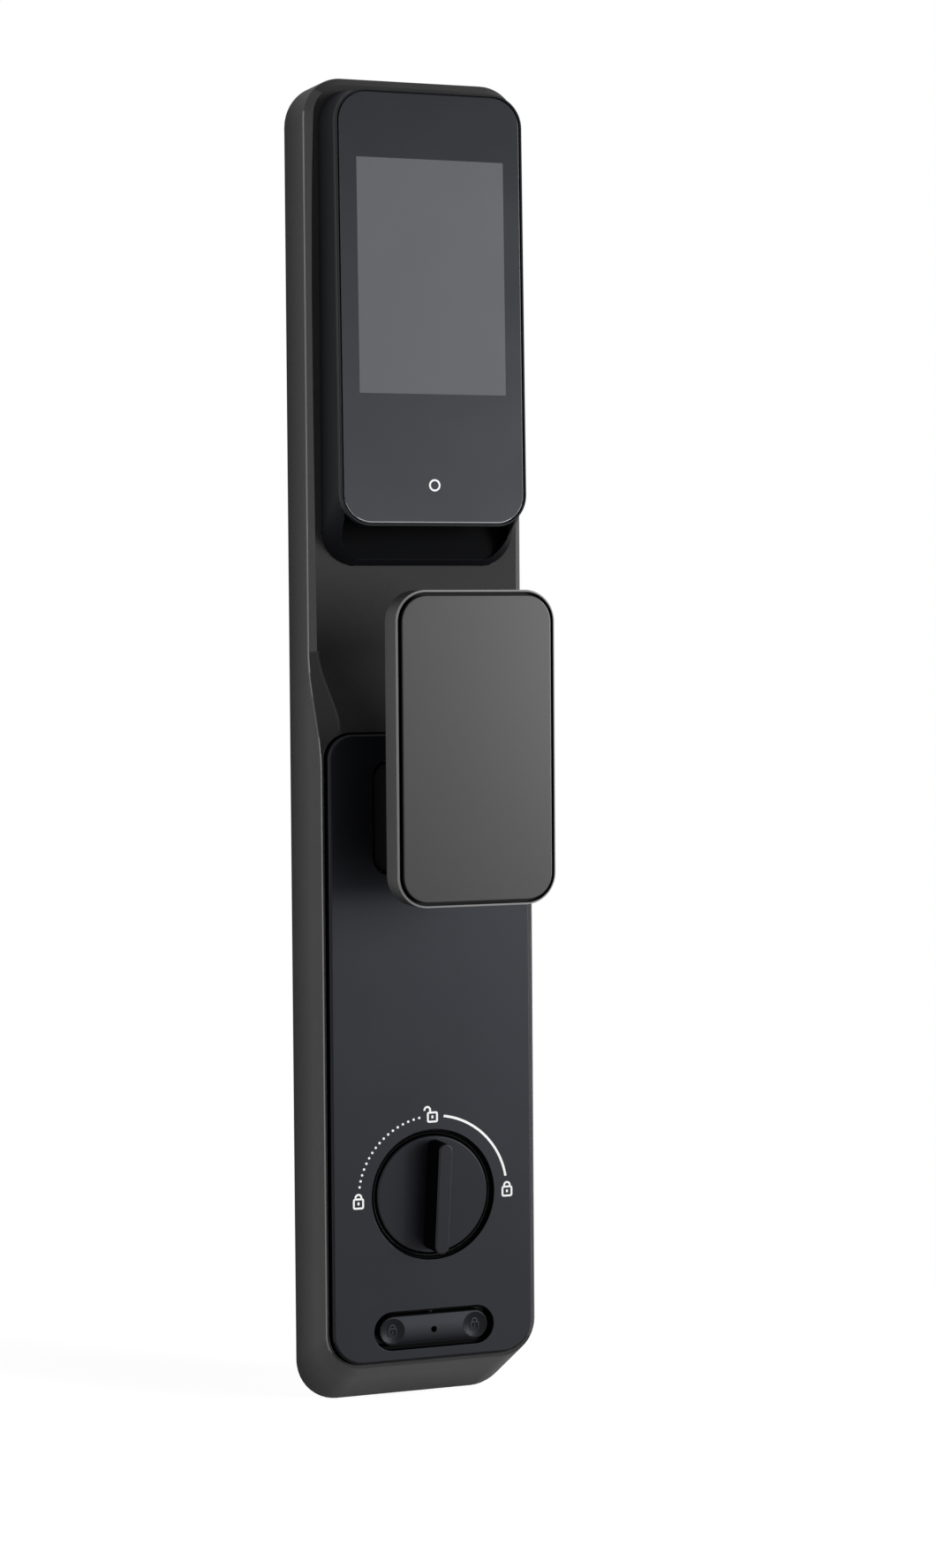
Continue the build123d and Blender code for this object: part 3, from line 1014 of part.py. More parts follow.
with BuildPart() as button_board:
    block(-BUTTON_BOARD_WIDTH / 2, BUTTON_BOARD_WIDTH / 2, ROCKER_Z - BUTTON_BOARD_HEIGHT / 2,
          ROCKER_Z + BUTTON_BOARD_HEIGHT / 2, DECK_DEPTH, button_front)
save(button_board, "button_board")

with BuildPart() as rocker_switches:
    for side in (-1, 1):
        middle = side * DIMPLE_X
        block(middle - SWITCH_SIZE / 2, middle + SWITCH_SIZE / 2, ROCKER_Z - SWITCH_SIZE / 2,
              ROCKER_Z + SWITCH_SIZE / 2, button_front, button_front + SWITCH_HEIGHT)
save(rocker_switches, "rocker_switches")

reset_z = reset_spot[0][1]
with BuildPart() as reset_switch:
    block(-RESET_BASE_SIZE / 2, RESET_BASE_SIZE / 2, reset_z - RESET_BASE_SIZE / 2,
          reset_z + RESET_BASE_SIZE / 2, button_front, button_front + RESET_BASE_HEIGHT)
    rods(reset_spot, RESET_RADIUS + SLIDE_GAP, RESET_BACK - RESET_ROOM, button_front + RESET_BASE_HEIGHT,
         mode=Mode.SUBTRACT)
save(reset_switch, "reset_switch")

with BuildPart() as reset_plunger:
    rods(reset_spot, RESET_RADIUS, RESET_BACK, RESET_FRONT)
save(reset_plunger, "reset_plunger")
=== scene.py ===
# %% [markdown]
# # The indoor half of a push-pull smart lock
#
# The lock is a tall dark casing with a screen module on top, a satin handle that stands out in
# front of its middle, and a thumbturn and a rocker button below. The solids arrive with their
# real sizes and joints. Here they get rounded edges, finishes, printed marks and light.

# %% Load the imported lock
import bmesh
import bpy
import json
from math import cos, pi, radians, sin
from mathutils import Matrix, Vector


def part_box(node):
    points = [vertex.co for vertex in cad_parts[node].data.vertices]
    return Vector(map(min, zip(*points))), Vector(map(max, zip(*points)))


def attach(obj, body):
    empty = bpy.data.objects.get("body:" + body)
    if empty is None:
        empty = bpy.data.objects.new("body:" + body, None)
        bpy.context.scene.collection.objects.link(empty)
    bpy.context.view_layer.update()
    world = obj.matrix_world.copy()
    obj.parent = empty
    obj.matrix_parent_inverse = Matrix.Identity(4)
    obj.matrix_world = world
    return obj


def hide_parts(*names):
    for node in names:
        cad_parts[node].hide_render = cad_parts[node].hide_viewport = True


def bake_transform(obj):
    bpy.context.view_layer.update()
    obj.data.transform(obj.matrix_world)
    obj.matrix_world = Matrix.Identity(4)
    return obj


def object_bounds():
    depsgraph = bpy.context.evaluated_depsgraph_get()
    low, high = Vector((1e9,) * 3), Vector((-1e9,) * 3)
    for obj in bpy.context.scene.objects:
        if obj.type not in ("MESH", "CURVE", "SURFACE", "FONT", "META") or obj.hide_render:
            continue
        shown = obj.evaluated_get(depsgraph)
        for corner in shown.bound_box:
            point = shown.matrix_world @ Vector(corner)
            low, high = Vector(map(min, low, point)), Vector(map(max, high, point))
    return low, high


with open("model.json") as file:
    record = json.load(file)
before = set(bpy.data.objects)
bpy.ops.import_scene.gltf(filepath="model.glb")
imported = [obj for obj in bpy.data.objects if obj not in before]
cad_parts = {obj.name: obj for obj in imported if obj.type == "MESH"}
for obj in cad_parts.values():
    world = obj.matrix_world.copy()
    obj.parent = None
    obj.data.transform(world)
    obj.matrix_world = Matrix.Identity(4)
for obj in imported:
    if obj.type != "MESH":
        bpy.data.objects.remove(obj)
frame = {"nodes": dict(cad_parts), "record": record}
cad_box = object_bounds()
MM = 0.001

# %% [markdown]
# ## Camera
#
# The lock is seen from about a metre away, from its left side and slightly above. A camera looks
# along its own -Z, so its turn is built from three directions: right, up and backwards. The
# camera stands where these directions and the distances along them put it.

# %% Camera
VIEW_YAW = radians(21.546)
VIEW_PITCH = radians(2.579)
VIEW_ROLL = radians(0.425)
VIEW_LENS = 77.2
SIDE_STEP, RISE, DISTANCE = -22.619 * MM, 13.389 * MM, 1090.779 * MM

ahead = Vector((sin(VIEW_YAW) * cos(VIEW_PITCH), cos(VIEW_YAW) * cos(VIEW_PITCH), -sin(VIEW_PITCH)))
right = Vector((cos(VIEW_YAW), -sin(VIEW_YAW), 0.0))
up = right.cross(ahead)
stand = -SIDE_STEP * right - RISE * up - DISTANCE * ahead
tilted_right = right * cos(VIEW_ROLL) - up * sin(VIEW_ROLL)
tilted_up = right * sin(VIEW_ROLL) + up * cos(VIEW_ROLL)

camera_data = bpy.data.cameras.new("view_camera")
camera_data.lens = VIEW_LENS
camera_data.sensor_width = 36.0
camera = bpy.data.objects.new("view_camera", camera_data)
bpy.context.scene.collection.objects.link(camera)
turn = Matrix((tilted_right, tilted_up, -ahead)).transposed().to_4x4()
camera.matrix_world = Matrix.Translation(stand) @ turn
bpy.context.scene.camera = camera
print("camera stands at", [round(value, 3) for value in stand])

# %% [markdown]
# ## White studio
#
# The lock stands in front of plain white. The white comes from the world's colour for rays that
# come from the camera, a reflection or a clear surface. Other rays find a dimmer world, so
# the lamps can shape the lock. The floor is pale and keeps the lock's shadow near its foot. It
# adds a glow of its own for the camera and fades to plain white further out, so that its far
# edge can't be seen.

# %% World and floor
def new_node(tree, kind, **settings):
    """Adds a shader or geometry node and sets its properties."""
    node = tree.nodes.new(kind)
    for name, value in settings.items():
        setattr(node, name, value)
    return node


def seen_directly(tree):
    """A value that is 1 for camera, glossy and transmission rays, and 0 for the others."""
    path = new_node(tree, "ShaderNodeLightPath")
    either = new_node(tree, "ShaderNodeMath", operation="MAXIMUM")
    any_of = new_node(tree, "ShaderNodeMath", operation="MAXIMUM")
    tree.links.new(path.outputs["Is Camera Ray"], either.inputs[0])
    tree.links.new(path.outputs["Is Glossy Ray"], either.inputs[1])
    tree.links.new(either.outputs[0], any_of.inputs[0])
    tree.links.new(path.outputs["Is Transmission Ray"], any_of.inputs[1])
    return any_of.outputs[0]


WORLD_FILL = 0.13
world = bpy.data.worlds.new("white_studio")
bpy.context.scene.world = world
world.use_nodes = True
tree = world.node_tree
tree.nodes.clear()
dim = new_node(tree, "ShaderNodeBackground")
dim.inputs["Strength"].default_value = WORLD_FILL
white = new_node(tree, "ShaderNodeBackground")
mix = new_node(tree, "ShaderNodeMixShader")
world_out = new_node(tree, "ShaderNodeOutputWorld")
for shade in (dim, white):
    shade.inputs["Color"].default_value = (1, 1, 1, 1)
tree.links.new(seen_directly(tree), mix.inputs["Fac"])
tree.links.new(dim.outputs[0], mix.inputs[1])
tree.links.new(white.outputs[0], mix.inputs[2])
tree.links.new(mix.outputs[0], world_out.inputs["Surface"])

FLOOR_SIZE = 1.6
FLOOR_GREY = 0.82
FLOOR_GLOW = 0.8
FADE_START, FADE_END = 0.08, 0.45
floor_mesh = bpy.data.meshes.new("floor")
half = FLOOR_SIZE / 2
level = cad_box[0][2]
floor_corners = [(x, y, level) for x, y in ((-half, -half), (half, -half), (half, half), (-half, half))]
floor_mesh.from_pydata(floor_corners, [], [(0, 1, 2, 3)])
floor = bpy.data.objects.new("floor", floor_mesh)
bpy.context.scene.collection.objects.link(floor)

floor_paint = bpy.data.materials.new("pale_floor")
floor_paint.use_nodes = True
tree = floor_paint.node_tree
tree.nodes.clear()
matt = new_node(tree, "ShaderNodeBsdfDiffuse")
matt.inputs["Color"].default_value = (FLOOR_GREY, FLOOR_GREY, FLOOR_GREY, 1)
glow = new_node(tree, "ShaderNodeEmission")
bright = new_node(tree, "ShaderNodeEmission")
foot = new_node(tree, "ShaderNodeAddShader")
near = new_node(tree, "ShaderNodeMixShader")
chosen = new_node(tree, "ShaderNodeMixShader")
place = new_node(tree, "ShaderNodeTexCoord")
distance = new_node(tree, "ShaderNodeVectorMath", operation="LENGTH")
fade = new_node(tree, "ShaderNodeMapRange", interpolation_type="SMOOTHSTEP")
floor_out = new_node(tree, "ShaderNodeOutputMaterial")
glow.inputs["Strength"].default_value = FLOOR_GLOW
bright.inputs["Strength"].default_value = 1.0
fade.inputs["From Min"].default_value = FADE_START
fade.inputs["From Max"].default_value = FADE_END
tree.links.new(place.outputs["Object"], distance.inputs[0])
tree.links.new(distance.outputs["Value"], fade.inputs["Value"])
tree.links.new(matt.outputs[0], foot.inputs[0])
tree.links.new(glow.outputs[0], foot.inputs[1])
tree.links.new(fade.outputs[0], near.inputs["Fac"])
tree.links.new(foot.outputs[0], near.inputs[1])
tree.links.new(bright.outputs[0], near.inputs[2])
tree.links.new(seen_directly(tree), chosen.inputs["Fac"])
tree.links.new(matt.outputs[0], chosen.inputs[1])
tree.links.new(near.outputs[0], chosen.inputs[2])
tree.links.new(chosen.outputs[0], floor_out.inputs["Surface"])
floor_mesh.materials.append(floor_paint)
print("floor at", round(level, 4), "m")

# %% [markdown]
# ## Lamps
#
# One large soft lamp stands in front on the right, a little above the lock: it lights the flat
# faces evenly and throws the handle's shadow to the left. A weaker one on the left keeps the
# long side wall readable. A small strip, low in front, only makes a soft reflection in the handle
# and the glass. Each lamp is placed by its direction and set by its brightness, and the
# line printed for it is the share of a full exposure that it gives.

# %% Lamps
def soft_lamp(name, azimuth, elevation, distance, size, radiance):
    """An area lamp that faces the lock. Azimuth 0 is straight in front and 90 is on its right."""
    level, angle = radians(elevation), radians(azimuth)
    way = Vector((sin(angle) * cos(level), -cos(angle) * cos(level), sin(level)))
    data = bpy.data.lights.new(name, "AREA")
    data.shape = "RECTANGLE"
    data.size, data.size_y = size
    data.energy = radiance * pi * size[0] * size[1]
    lamp = bpy.data.objects.new(name, data)
    lamp.location = way * distance
    lamp.rotation_euler = way.to_track_quat("Z", "Y").to_euler()
    bpy.context.scene.collection.objects.link(lamp)
    print(name, "gives", round(radiance * size[0] * size[1] / pi / distance ** 2, 2))


soft_lamp("key_lamp", azimuth=42, elevation=6, distance=1.7, size=(0.7, 0.8), radiance=15.0)
soft_lamp("left_lamp", azimuth=-72, elevation=5, distance=1.6, size=(0.4, 1.2), radiance=4.0)
soft_lamp("front_strip", azimuth=27, elevation=0, distance=1.6, size=(0.2, 0.16), radiance=5.0)

# %% [markdown]
# ## A finish from nodes
#
# Paint, moulded plastic and anodised metal all have the same build-up: a base colour that
# drifts a little over the piece, a roughness that drifts with it, and a fine grain that
# catches the light. One function makes them all. Sizes are given in millimetres, and the grain
# can be drawn out along one direction, which turns it into brushing.
#
# Three more functions paint light and shade into a finish that is already there. One gives the
# edges a second look, which is a painted highlight or a painted shade. One paints shade by depth
# and by the way a face looks. One scales the colour between two points, which paints a gradient
# of light and shade; it also paints shade on the steel cover of the drive, where it would shine
# through the opening behind the handle.

# %% Finishes
BUMP_STRENGTH = 0.6
SAME_VALUE = 0.001


def tone(red, green, blue):
    """A colour written as it shows on a screen, from 0 to 255, as the linear colour of a shader."""
    linear = [((v / 255 + 0.055) / 1.055) ** 2.4 if v > 10 else v / 255 / 12.92 for v in (red, green, blue)]
    return (*linear, 1.0)


def insert_node(tree, socket, way_in, way_out):
    """Puts a node between a socket and what feeds it."""
    tree.links.new(socket.links[0].from_socket, way_in)
    tree.links.new(way_out, socket)


def noise_at(tree, coordinates, size_mm, detail=2.0, stretch=(1, 1, 1)):
    """A noise texture whose features are about size_mm across."""
    mapping = new_node(tree, "ShaderNodeMapping")
    mapping.inputs["Scale"].default_value = stretch
    noise = new_node(tree, "ShaderNodeTexNoise")
    noise.inputs["Scale"].default_value = 1 / (size_mm * MM)
    noise.inputs["Detail"].default_value = detail
    tree.links.new(coordinates, mapping.inputs["Vector"])
    tree.links.new(mapping.outputs[0], noise.inputs["Vector"])
    return noise.outputs["Fac"]


def finish(name, colour, roughness, metallic=0.0, specular=0.5, grain_mm=0.5, grain_depth=0.01,
           stretch=(1, 1, 1), drift=0.08, drift_mm=30.0, rough_drift=0.05, tint=(1, 1, 1)):
    """A procedural finish. The tint colours what a plain surface mirrors."""
    material = bpy.data.materials.new(name)
    material.use_nodes = True
    tree = material.node_tree
    shader = tree.nodes["Principled BSDF"]
    shader.inputs["Roughness"].default_value = roughness
    shader.inputs["Metallic"].default_value = metallic
    shader.inputs["Specular IOR Level"].default_value = specular
    shader.inputs["Specular Tint"].default_value = (*tint, 1)
    place = new_node(tree, "ShaderNodeTexCoord").outputs["Object"]

    slow = noise_at(tree, place, drift_mm)
    blend = new_node(tree, "ShaderNodeMix", data_type="RGBA")
    blend.inputs[6].default_value = tuple(v * (1 - drift) for v in colour[:3]) + (1,)
    blend.inputs[7].default_value = tuple(v * (1 + drift) for v in colour[:3]) + (1,)
    tree.links.new(slow, blend.inputs["Factor"])
    tree.links.new(blend.outputs[2], shader.inputs["Base Color"])

    if rough_drift:
        spread = new_node(tree, "ShaderNodeMapRange")
        spread.inputs["To Min"].default_value = roughness - rough_drift
        spread.inputs["To Max"].default_value = roughness + rough_drift
        tree.links.new(slow, spread.inputs["Value"])
        tree.links.new(spread.outputs[0], shader.inputs["Roughness"])

    grain = noise_at(tree, place, grain_mm, detail=3.0, stretch=stretch)
    bump = new_node(tree, "ShaderNodeBump")
    bump.inputs["Strength"].default_value = BUMP_STRENGTH
    bump.inputs["Distance"].default_value = grain_depth * MM
    tree.links.new(grain, bump.inputs["Height"])
    tree.links.new(bump.outputs[0], shader.inputs["Normal"])
    return material


def painted_edge_light(material, colour, roughness, metallic, specular):
    """Gives the faces that carry the mark edge a second look, a painted highlight or a painted shade: their
    share of it is the mark.
    """
    tree = material.node_tree
    shader = tree.nodes["Principled BSDF"]
    mark = new_node(tree, "ShaderNodeAttribute", attribute_name="edge").outputs["Fac"]
    tint = new_node(tree, "ShaderNodeMix", data_type="RGBA")
    tint.inputs[7].default_value = colour
    tree.links.new(mark, tint.inputs["Factor"])
    insert_node(tree, shader.inputs["Base Color"], tint.inputs[6], tint.outputs[2])
    for name, value in (("Roughness", roughness), ("Metallic", metallic), ("Specular IOR Level", specular)):
        socket = shader.inputs[name]
        if not socket.is_linked and abs(socket.default_value - value) < SAME_VALUE:
            continue
        blend = new_node(tree, "ShaderNodeMapRange")
        blend.inputs["To Min"].default_value = socket.default_value
        blend.inputs["To Max"].default_value = value
        tree.links.new(mark, blend.inputs["Value"])
        if socket.is_linked:
            insert_node(tree, socket, blend.inputs["To Min"], blend.outputs[0])
        else:
            tree.links.new(blend.outputs[0], socket)
    return material


def painted_shade_by_depth(material, back, front, forward, from_mm, to_mm):
    """Paints shade into the base colour by scaling it: sideways faces run from back to front over two depths,
    and those that look forward take a scale of their own."""
    tree = material.node_tree
    shader = tree.nodes["Principled BSDF"]
    place = new_node(tree, "ShaderNodeTexCoord")
    where = new_node(tree, "ShaderNodeSeparateXYZ")
    facing = new_node(tree, "ShaderNodeSeparateXYZ")
    ramp = new_node(tree, "ShaderNodeMapRange")
    amount = new_node(tree, "ShaderNodeMapRange")
    shade = new_node(tree, "ShaderNodeVectorMath", operation="SCALE")
    ramp.inputs["From Min"].default_value = -from_mm * MM
    ramp.inputs["From Max"].default_value = -to_mm * MM
    ramp.inputs["To Min"].default_value = back
    ramp.inputs["To Max"].default_value = front
    amount.inputs["From Max"].default_value = -1
    amount.inputs["To Max"].default_value = forward
    tree.links.new(place.outputs["Object"], where.inputs[0])
    tree.links.new(place.outputs["Normal"], facing.inputs[0])
    tree.links.new(where.outputs["Y"], ramp.inputs["Value"])
    tree.links.new(facing.outputs["Y"], amount.inputs["Value"])
    tree.links.new(ramp.outputs[0], amount.inputs["To Min"])
    tree.links.new(amount.outputs[0], shade.inputs["Scale"])
    insert_node(tree, shader.inputs["Base Color"], shade.inputs[0], shade.outputs[0])
    return material


def painted_light_ramp(material, start, end, first, last, shine=False):
    """Paints light and shade as a gradient: scales the base colour, and the shine if asked, from first to
    last between two points.
    """
    tree = material.node_tree
    shader = tree.nodes["Principled BSDF"]
    span = Vector(end) - Vector(start)
    way = span / span.length_squared
    place = new_node(tree, "ShaderNodeTexCoord")
    along = new_node(tree, "ShaderNodeVectorMath", operation="DOT_PRODUCT")
    ramp = new_node(tree, "ShaderNodeMapRange")
    shade = new_node(tree, "ShaderNodeVectorMath", operation="SCALE")
    along.inputs[1].default_value = way
    ramp.inputs["From Min"].default_value = way.dot(Vector(start))
    ramp.inputs["From Max"].default_value = way.dot(Vector(end))
    ramp.inputs["To Min"].default_value = first
    ramp.inputs["To Max"].default_value = last
    tree.links.new(place.outputs["Object"], along.inputs[0])
    tree.links.new(along.outputs["Value"], ramp.inputs["Value"])
    tree.links.new(ramp.outputs[0], shade.inputs["Scale"])
    insert_node(tree, shader.inputs["Base Color"], shade.inputs[0], shade.outputs[0])
    if shine:
        level = new_node(tree, "ShaderNodeMath", operation="MULTIPLY")
        level.inputs[1].default_value = shader.inputs["Specular IOR Level"].default_value
        tree.links.new(ramp.outputs[0], level.inputs[0])
        tree.links.new(level.outputs[0], shader.inputs["Specular IOR Level"])
    return material


COOL = (0.86, 0.885, 1.0)
# Depths over which the plated steel is painted darker, painted shade.
COVER_SHADE_START, COVER_SHADE_FULL = -8.2 * MM, -10 * MM
plate_low, plate_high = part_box("handle_insert")
rocker_low, rocker_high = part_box("lock_rocker")
ROCKER_Z = (rocker_low.z + rocker_high.z) / 2
FINISHES = {
    # The casing's side walls are painted shade, black at the back and lighter towards the front, its front
    # faces a little lighter, and its rounded edges and upper bevel take a lighter metallic colour as a
    # painted highlight.
    "graphite_casting": painted_edge_light(
        painted_shade_by_depth(finish("graphite_casting", tone(49, 49, 49), 0.55, specular=0.05, grain_mm=0.6,
                               grain_depth=0.16),
                        back=0.0, front=3.0, forward=1.3, from_mm=0.0, to_mm=18.0),
        tone(110, 110, 110), roughness=0.35, metallic=0.7, specular=0.5),
    # The panel's walls and shaded rim are painted near black, painted shade.
    "panel_satin": painted_edge_light(
        finish("panel_satin", tone(10, 11, 15), 0.36, specular=0.29, grain_mm=0.25, grain_depth=0.003,
               tint=COOL),
        tone(3, 3, 4), roughness=0.5, metallic=0.0, specular=0.03),
    # The screen housing is painted shade, darker towards the back of its walls and on faces that look
    # forward, and its rounded edges are a little lighter and shinier, a painted highlight.
    "module_plastic": painted_edge_light(
        painted_shade_by_depth(finish("module_plastic", tone(37, 38, 41), 0.5, specular=0.012, grain_mm=0.3,
                               grain_depth=0.005),
                        back=0.5, front=1.9, forward=0.2, from_mm=19.0, to_mm=32.0),
        tone(40, 41, 43), roughness=0.4, metallic=0.0, specular=0.1),
    # The screen bezel is near black, painted shade, on the walls that look into the gap around the glass, and
    # a lighter grey on its other faces.
    "module_bezel": painted_edge_light(
        finish("module_bezel", tone(6, 6, 7), 0.4, specular=0.02, grain_mm=0.3, grain_depth=0.003),
        tone(30, 31, 33), roughness=0.4, metallic=0.0, specular=0.08),
    # The handle frame is painted shade, a little darker at the back of its walls and much darker on faces
    # that look forward, and its cut bevel takes a light colour as a painted highlight.
    "handle_satin": painted_edge_light(
        painted_shade_by_depth(finish("handle_satin", tone(42, 42, 42), 0.42, specular=0.13, grain_mm=0.3,
                               grain_depth=0.006),
                        back=0.8, front=1.1, forward=0.15, from_mm=58.0, to_mm=70.0),
        tone(150, 150, 150), roughness=0.4, metallic=0.2, specular=0.4),
    # The handle plate is painted lighter towards its upper right and darker towards its lower left, painted
    # light and shade, and near black on its sides and most of its border, painted shade.
    "handle_plate": painted_edge_light(
        painted_light_ramp(finish("handle_plate", tone(60, 60, 60), 0.28, metallic=0.6, grain_mm=0.25, grain_depth=0.002,
                      drift=0.02, rough_drift=0.0),
               plate_low, (plate_high.x, 0, plate_high.z - 6 * MM), first=0.7, last=1.1),
        tone(8, 8, 8), roughness=0.5, metallic=0.0, specular=0.02),
    "stem_black": finish("stem_black", tone(12, 12, 12), 0.5, specular=0.03, grain_mm=0.4, grain_depth=0.01),
    # The knob's upright faces are painted near black, painted shade beside its bar.
    "knob_metal": painted_edge_light(
        finish("knob_metal", tone(7, 7, 9), 0.36, specular=0.25, grain_mm=0.25, grain_depth=0.003, tint=COOL),
        tone(3, 3, 3), roughness=0.5, metallic=0.0, specular=0.02),
    # The rocker is painted shade: darker towards its bottom, and near black on its sides and in its dimples.
    "button_satin": painted_edge_light(
        painted_light_ramp(finish("button_satin", tone(19, 20, 24), 0.38, specular=0.44, grain_mm=0.25, grain_depth=0.004,
                      tint=COOL),
               (0, 0, ROCKER_Z + 1.5 * MM), (0, 0, rocker_low.z + 0.5 * MM), first=1.0, last=0.12,
               shine=True),
        tone(10, 10, 11), roughness=0.4, metallic=0.0, specular=0.14),
    # The thumbturn's ring is kept near black as painted shade for the gap around the knob, and its rounded
    # edges take a lighter colour as a painted highlight.
    "bezel_metal": painted_edge_light(
        finish("bezel_metal", tone(4, 4, 5), 0.5, specular=0.01, grain_mm=0.3, grain_depth=0.003),
        tone(30, 31, 33), roughness=0.4, metallic=0.2, specular=0.3),
    # Plated steel is painted darker in front of the plate, painted shade that keeps the drive's cover from
    # shining through the opening behind the handle.
    "plated_steel": painted_light_ramp(
        finish("plated_steel", tone(176, 178, 182), 0.38, metallic=1.0, grain_mm=0.25, grain_depth=0.004,
               stretch=(1, 1, 0.03)),
        (0, COVER_SHADE_START, 0), (0, COVER_SHADE_FULL, 0), first=1.0, last=0.12),
    "bracket_steel": finish("bracket_steel", tone(140, 141, 145), 0.42, metallic=1.0, grain_mm=0.25,
                            grain_depth=0.005, stretch=(0.05, 1, 1)),
    "hard_steel": finish("hard_steel", tone(170, 171, 175), 0.28, metallic=1.0, grain_mm=0.2,
                         grain_depth=0.003),
    "black_screws": finish("black_screws", tone(46, 46, 48), 0.35, metallic=0.9, grain_mm=0.2,
                           grain_depth=0.004),
    "spring_steel": finish("spring_steel", tone(165, 166, 170), 0.3, metallic=1.0, grain_mm=0.2,
                           grain_depth=0.003),
    "bushing_brass": finish("bushing_brass", tone(198, 164, 96), 0.32, metallic=1.0, grain_mm=0.2,
                            grain_depth=0.003),
    "speaker_can": finish("speaker_can", tone(150, 150, 152), 0.4, metallic=0.9, grain_mm=0.3,
                          grain_depth=0.004),
    "seal_rubber": finish("seal_rubber", tone(26, 26, 26), 0.8, specular=0.1, grain_mm=0.6,
                          grain_depth=0.05),
    # The boards' solder mask is a very dark green, kept that dark as painted shade where the button board
    # shows through the gap around the rocker.
    "circuit_board": finish("circuit_board", tone(16, 34, 28), 0.4, specular=0.3, grain_mm=0.8,
                            grain_depth=0.01, drift=0.15, drift_mm=6),
    "chips": finish("chips", tone(34, 34, 35), 0.55, grain_mm=0.2, grain_depth=0.006),
    "connector_plastic": finish("connector_plastic", tone(214, 206, 190), 0.45, grain_mm=0.4,
                                grain_depth=0.005),
    "ribbon_film": finish("ribbon_film", tone(190, 120, 40), 0.3, grain_mm=0.5, grain_depth=0.004,
                          stretch=(1, 1, 0.1)),
    "display": finish("display", tone(100, 101, 105), 0.25, grain_mm=0.3, grain_depth=0.002),
    "battery_wrap": finish("battery_wrap", tone(60, 88, 142), 0.35, grain_mm=1.2, grain_depth=0.02),
    "inner_plastic": finish("inner_plastic", tone(10, 10, 11), 0.5, specular=0.04, grain_mm=0.4,
                            grain_depth=0.01),
    "gear_plastic": finish("gear_plastic", tone(226, 222, 212), 0.4, grain_mm=0.4, grain_depth=0.006),
}
print(len(FINISHES), "finishes")

# %% [markdown]
# ## Smoked cover glass
#
# The glass is printed black from behind except for the window of the display, which
# stays lighter even when it is off. The print's colour grows lighter from the top to the bottom,
# which is a painted reflection. The window is a box test on the position: two steps along X and
# two along Z, multiplied, choose between the print's colour and the display's. They take the place
# of the finish's own colour.

# %% Glass
glass_low, glass_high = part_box("cover_glass")
GLASS_SLOPE = radians(1.05)
WINDOW_HALF = 24.5 * MM
WINDOW_LOW, WINDOW_HIGH = 110.4 * MM, 183.5 * MM


def inside(tree, value, low, high):
    """1 where the value lies between low and high, and 0 elsewhere."""
    above = new_node(tree, "ShaderNodeMath", operation="GREATER_THAN")
    below = new_node(tree, "ShaderNodeMath", operation="LESS_THAN")
    both = new_node(tree, "ShaderNodeMath", operation="MULTIPLY")
    above.inputs[1].default_value = low
    below.inputs[1].default_value = high
    tree.links.new(value, above.inputs[0])
    tree.links.new(value, below.inputs[0])
    tree.links.new(above.outputs[0], both.inputs[0])
    tree.links.new(below.outputs[0], both.inputs[1])
    return both.outputs[0]


glass = finish("smoked_glass", tone(14, 15, 18), 0.15, specular=0.42, grain_mm=2.0, grain_depth=0.0005,
               drift=0.02, tint=COOL)
tree = glass.node_tree
place = new_node(tree, "ShaderNodeTexCoord")
split = new_node(tree, "ShaderNodeSeparateXYZ")
window = new_node(tree, "ShaderNodeMath", operation="MULTIPLY")
colour = new_node(tree, "ShaderNodeMix", data_type="RGBA")
# The print runs from dark at the top to lighter at the bottom, a painted reflection.
print_with_painted_reflection = new_node(tree, "ShaderNodeMix", data_type="RGBA")
height = new_node(tree, "ShaderNodeMapRange")
height.inputs["From Min"].default_value = glass_high.z
height.inputs["From Max"].default_value = glass_low.z
print_with_painted_reflection.inputs[6].default_value = tone(12, 13, 16)
print_with_painted_reflection.inputs[7].default_value = tone(56, 57, 59)
colour.inputs[7].default_value = tone(94, 95, 98)
tree.links.new(place.outputs["Object"], split.inputs[0])
tree.links.new(inside(tree, split.outputs["X"], -WINDOW_HALF, WINDOW_HALF), window.inputs[0])
tree.links.new(inside(tree, split.outputs["Z"], WINDOW_LOW, WINDOW_HIGH), window.inputs[1])
tree.links.new(window.outputs[0], colour.inputs["Factor"])
tree.links.new(split.outputs["Z"], height.inputs["Value"])
tree.links.new(height.outputs[0], print_with_painted_reflection.inputs["Factor"])
tree.links.new(print_with_painted_reflection.outputs[2], colour.inputs[6])
tree.links.new(colour.outputs[2], tree.nodes["Principled BSDF"].inputs["Base Color"])
# The glass's lower rounded edge takes a light colour, a painted highlight.
FINISHES["smoked_glass"] = painted_edge_light(glass, tone(180, 181, 184), roughness=0.2, metallic=0.0,
                                          specular=0.6)
print("glass from", [round(v, 4) for v in glass_low], "to", [round(v, 4) for v in glass_high])

# %% [markdown]
# ## Finishes on the solids
#
# The record says which finish each solid takes. Each one is assigned to the material slots that
# the solid already has.

# %% Give every solid its finish
slot_of = {part["node"]: part["material_slot"] for part in frame["record"]["subparts"]}
for node, slot_name in slot_of.items():
    for material_slot in frame["nodes"][node].material_slots:
        material_slot.material = FINISHES[slot_name]
print(len(slot_of), "solids finished")

# %% [markdown]
# ## Rounded edges
#
# Real edges are never perfectly sharp: each one has a small radius that shows as a thin line of
# light. The visible solids are copied, their loose triangles are merged, a bevel rounds what is
# sharper than a limit, and weighted normals keep the large faces flat.

# %% Round the edges of the visible solids
bodies = frame["record"]["behaviour"]["bodies"]
body_of_node = {node: body for body, nodes in bodies.items() for node in nodes}


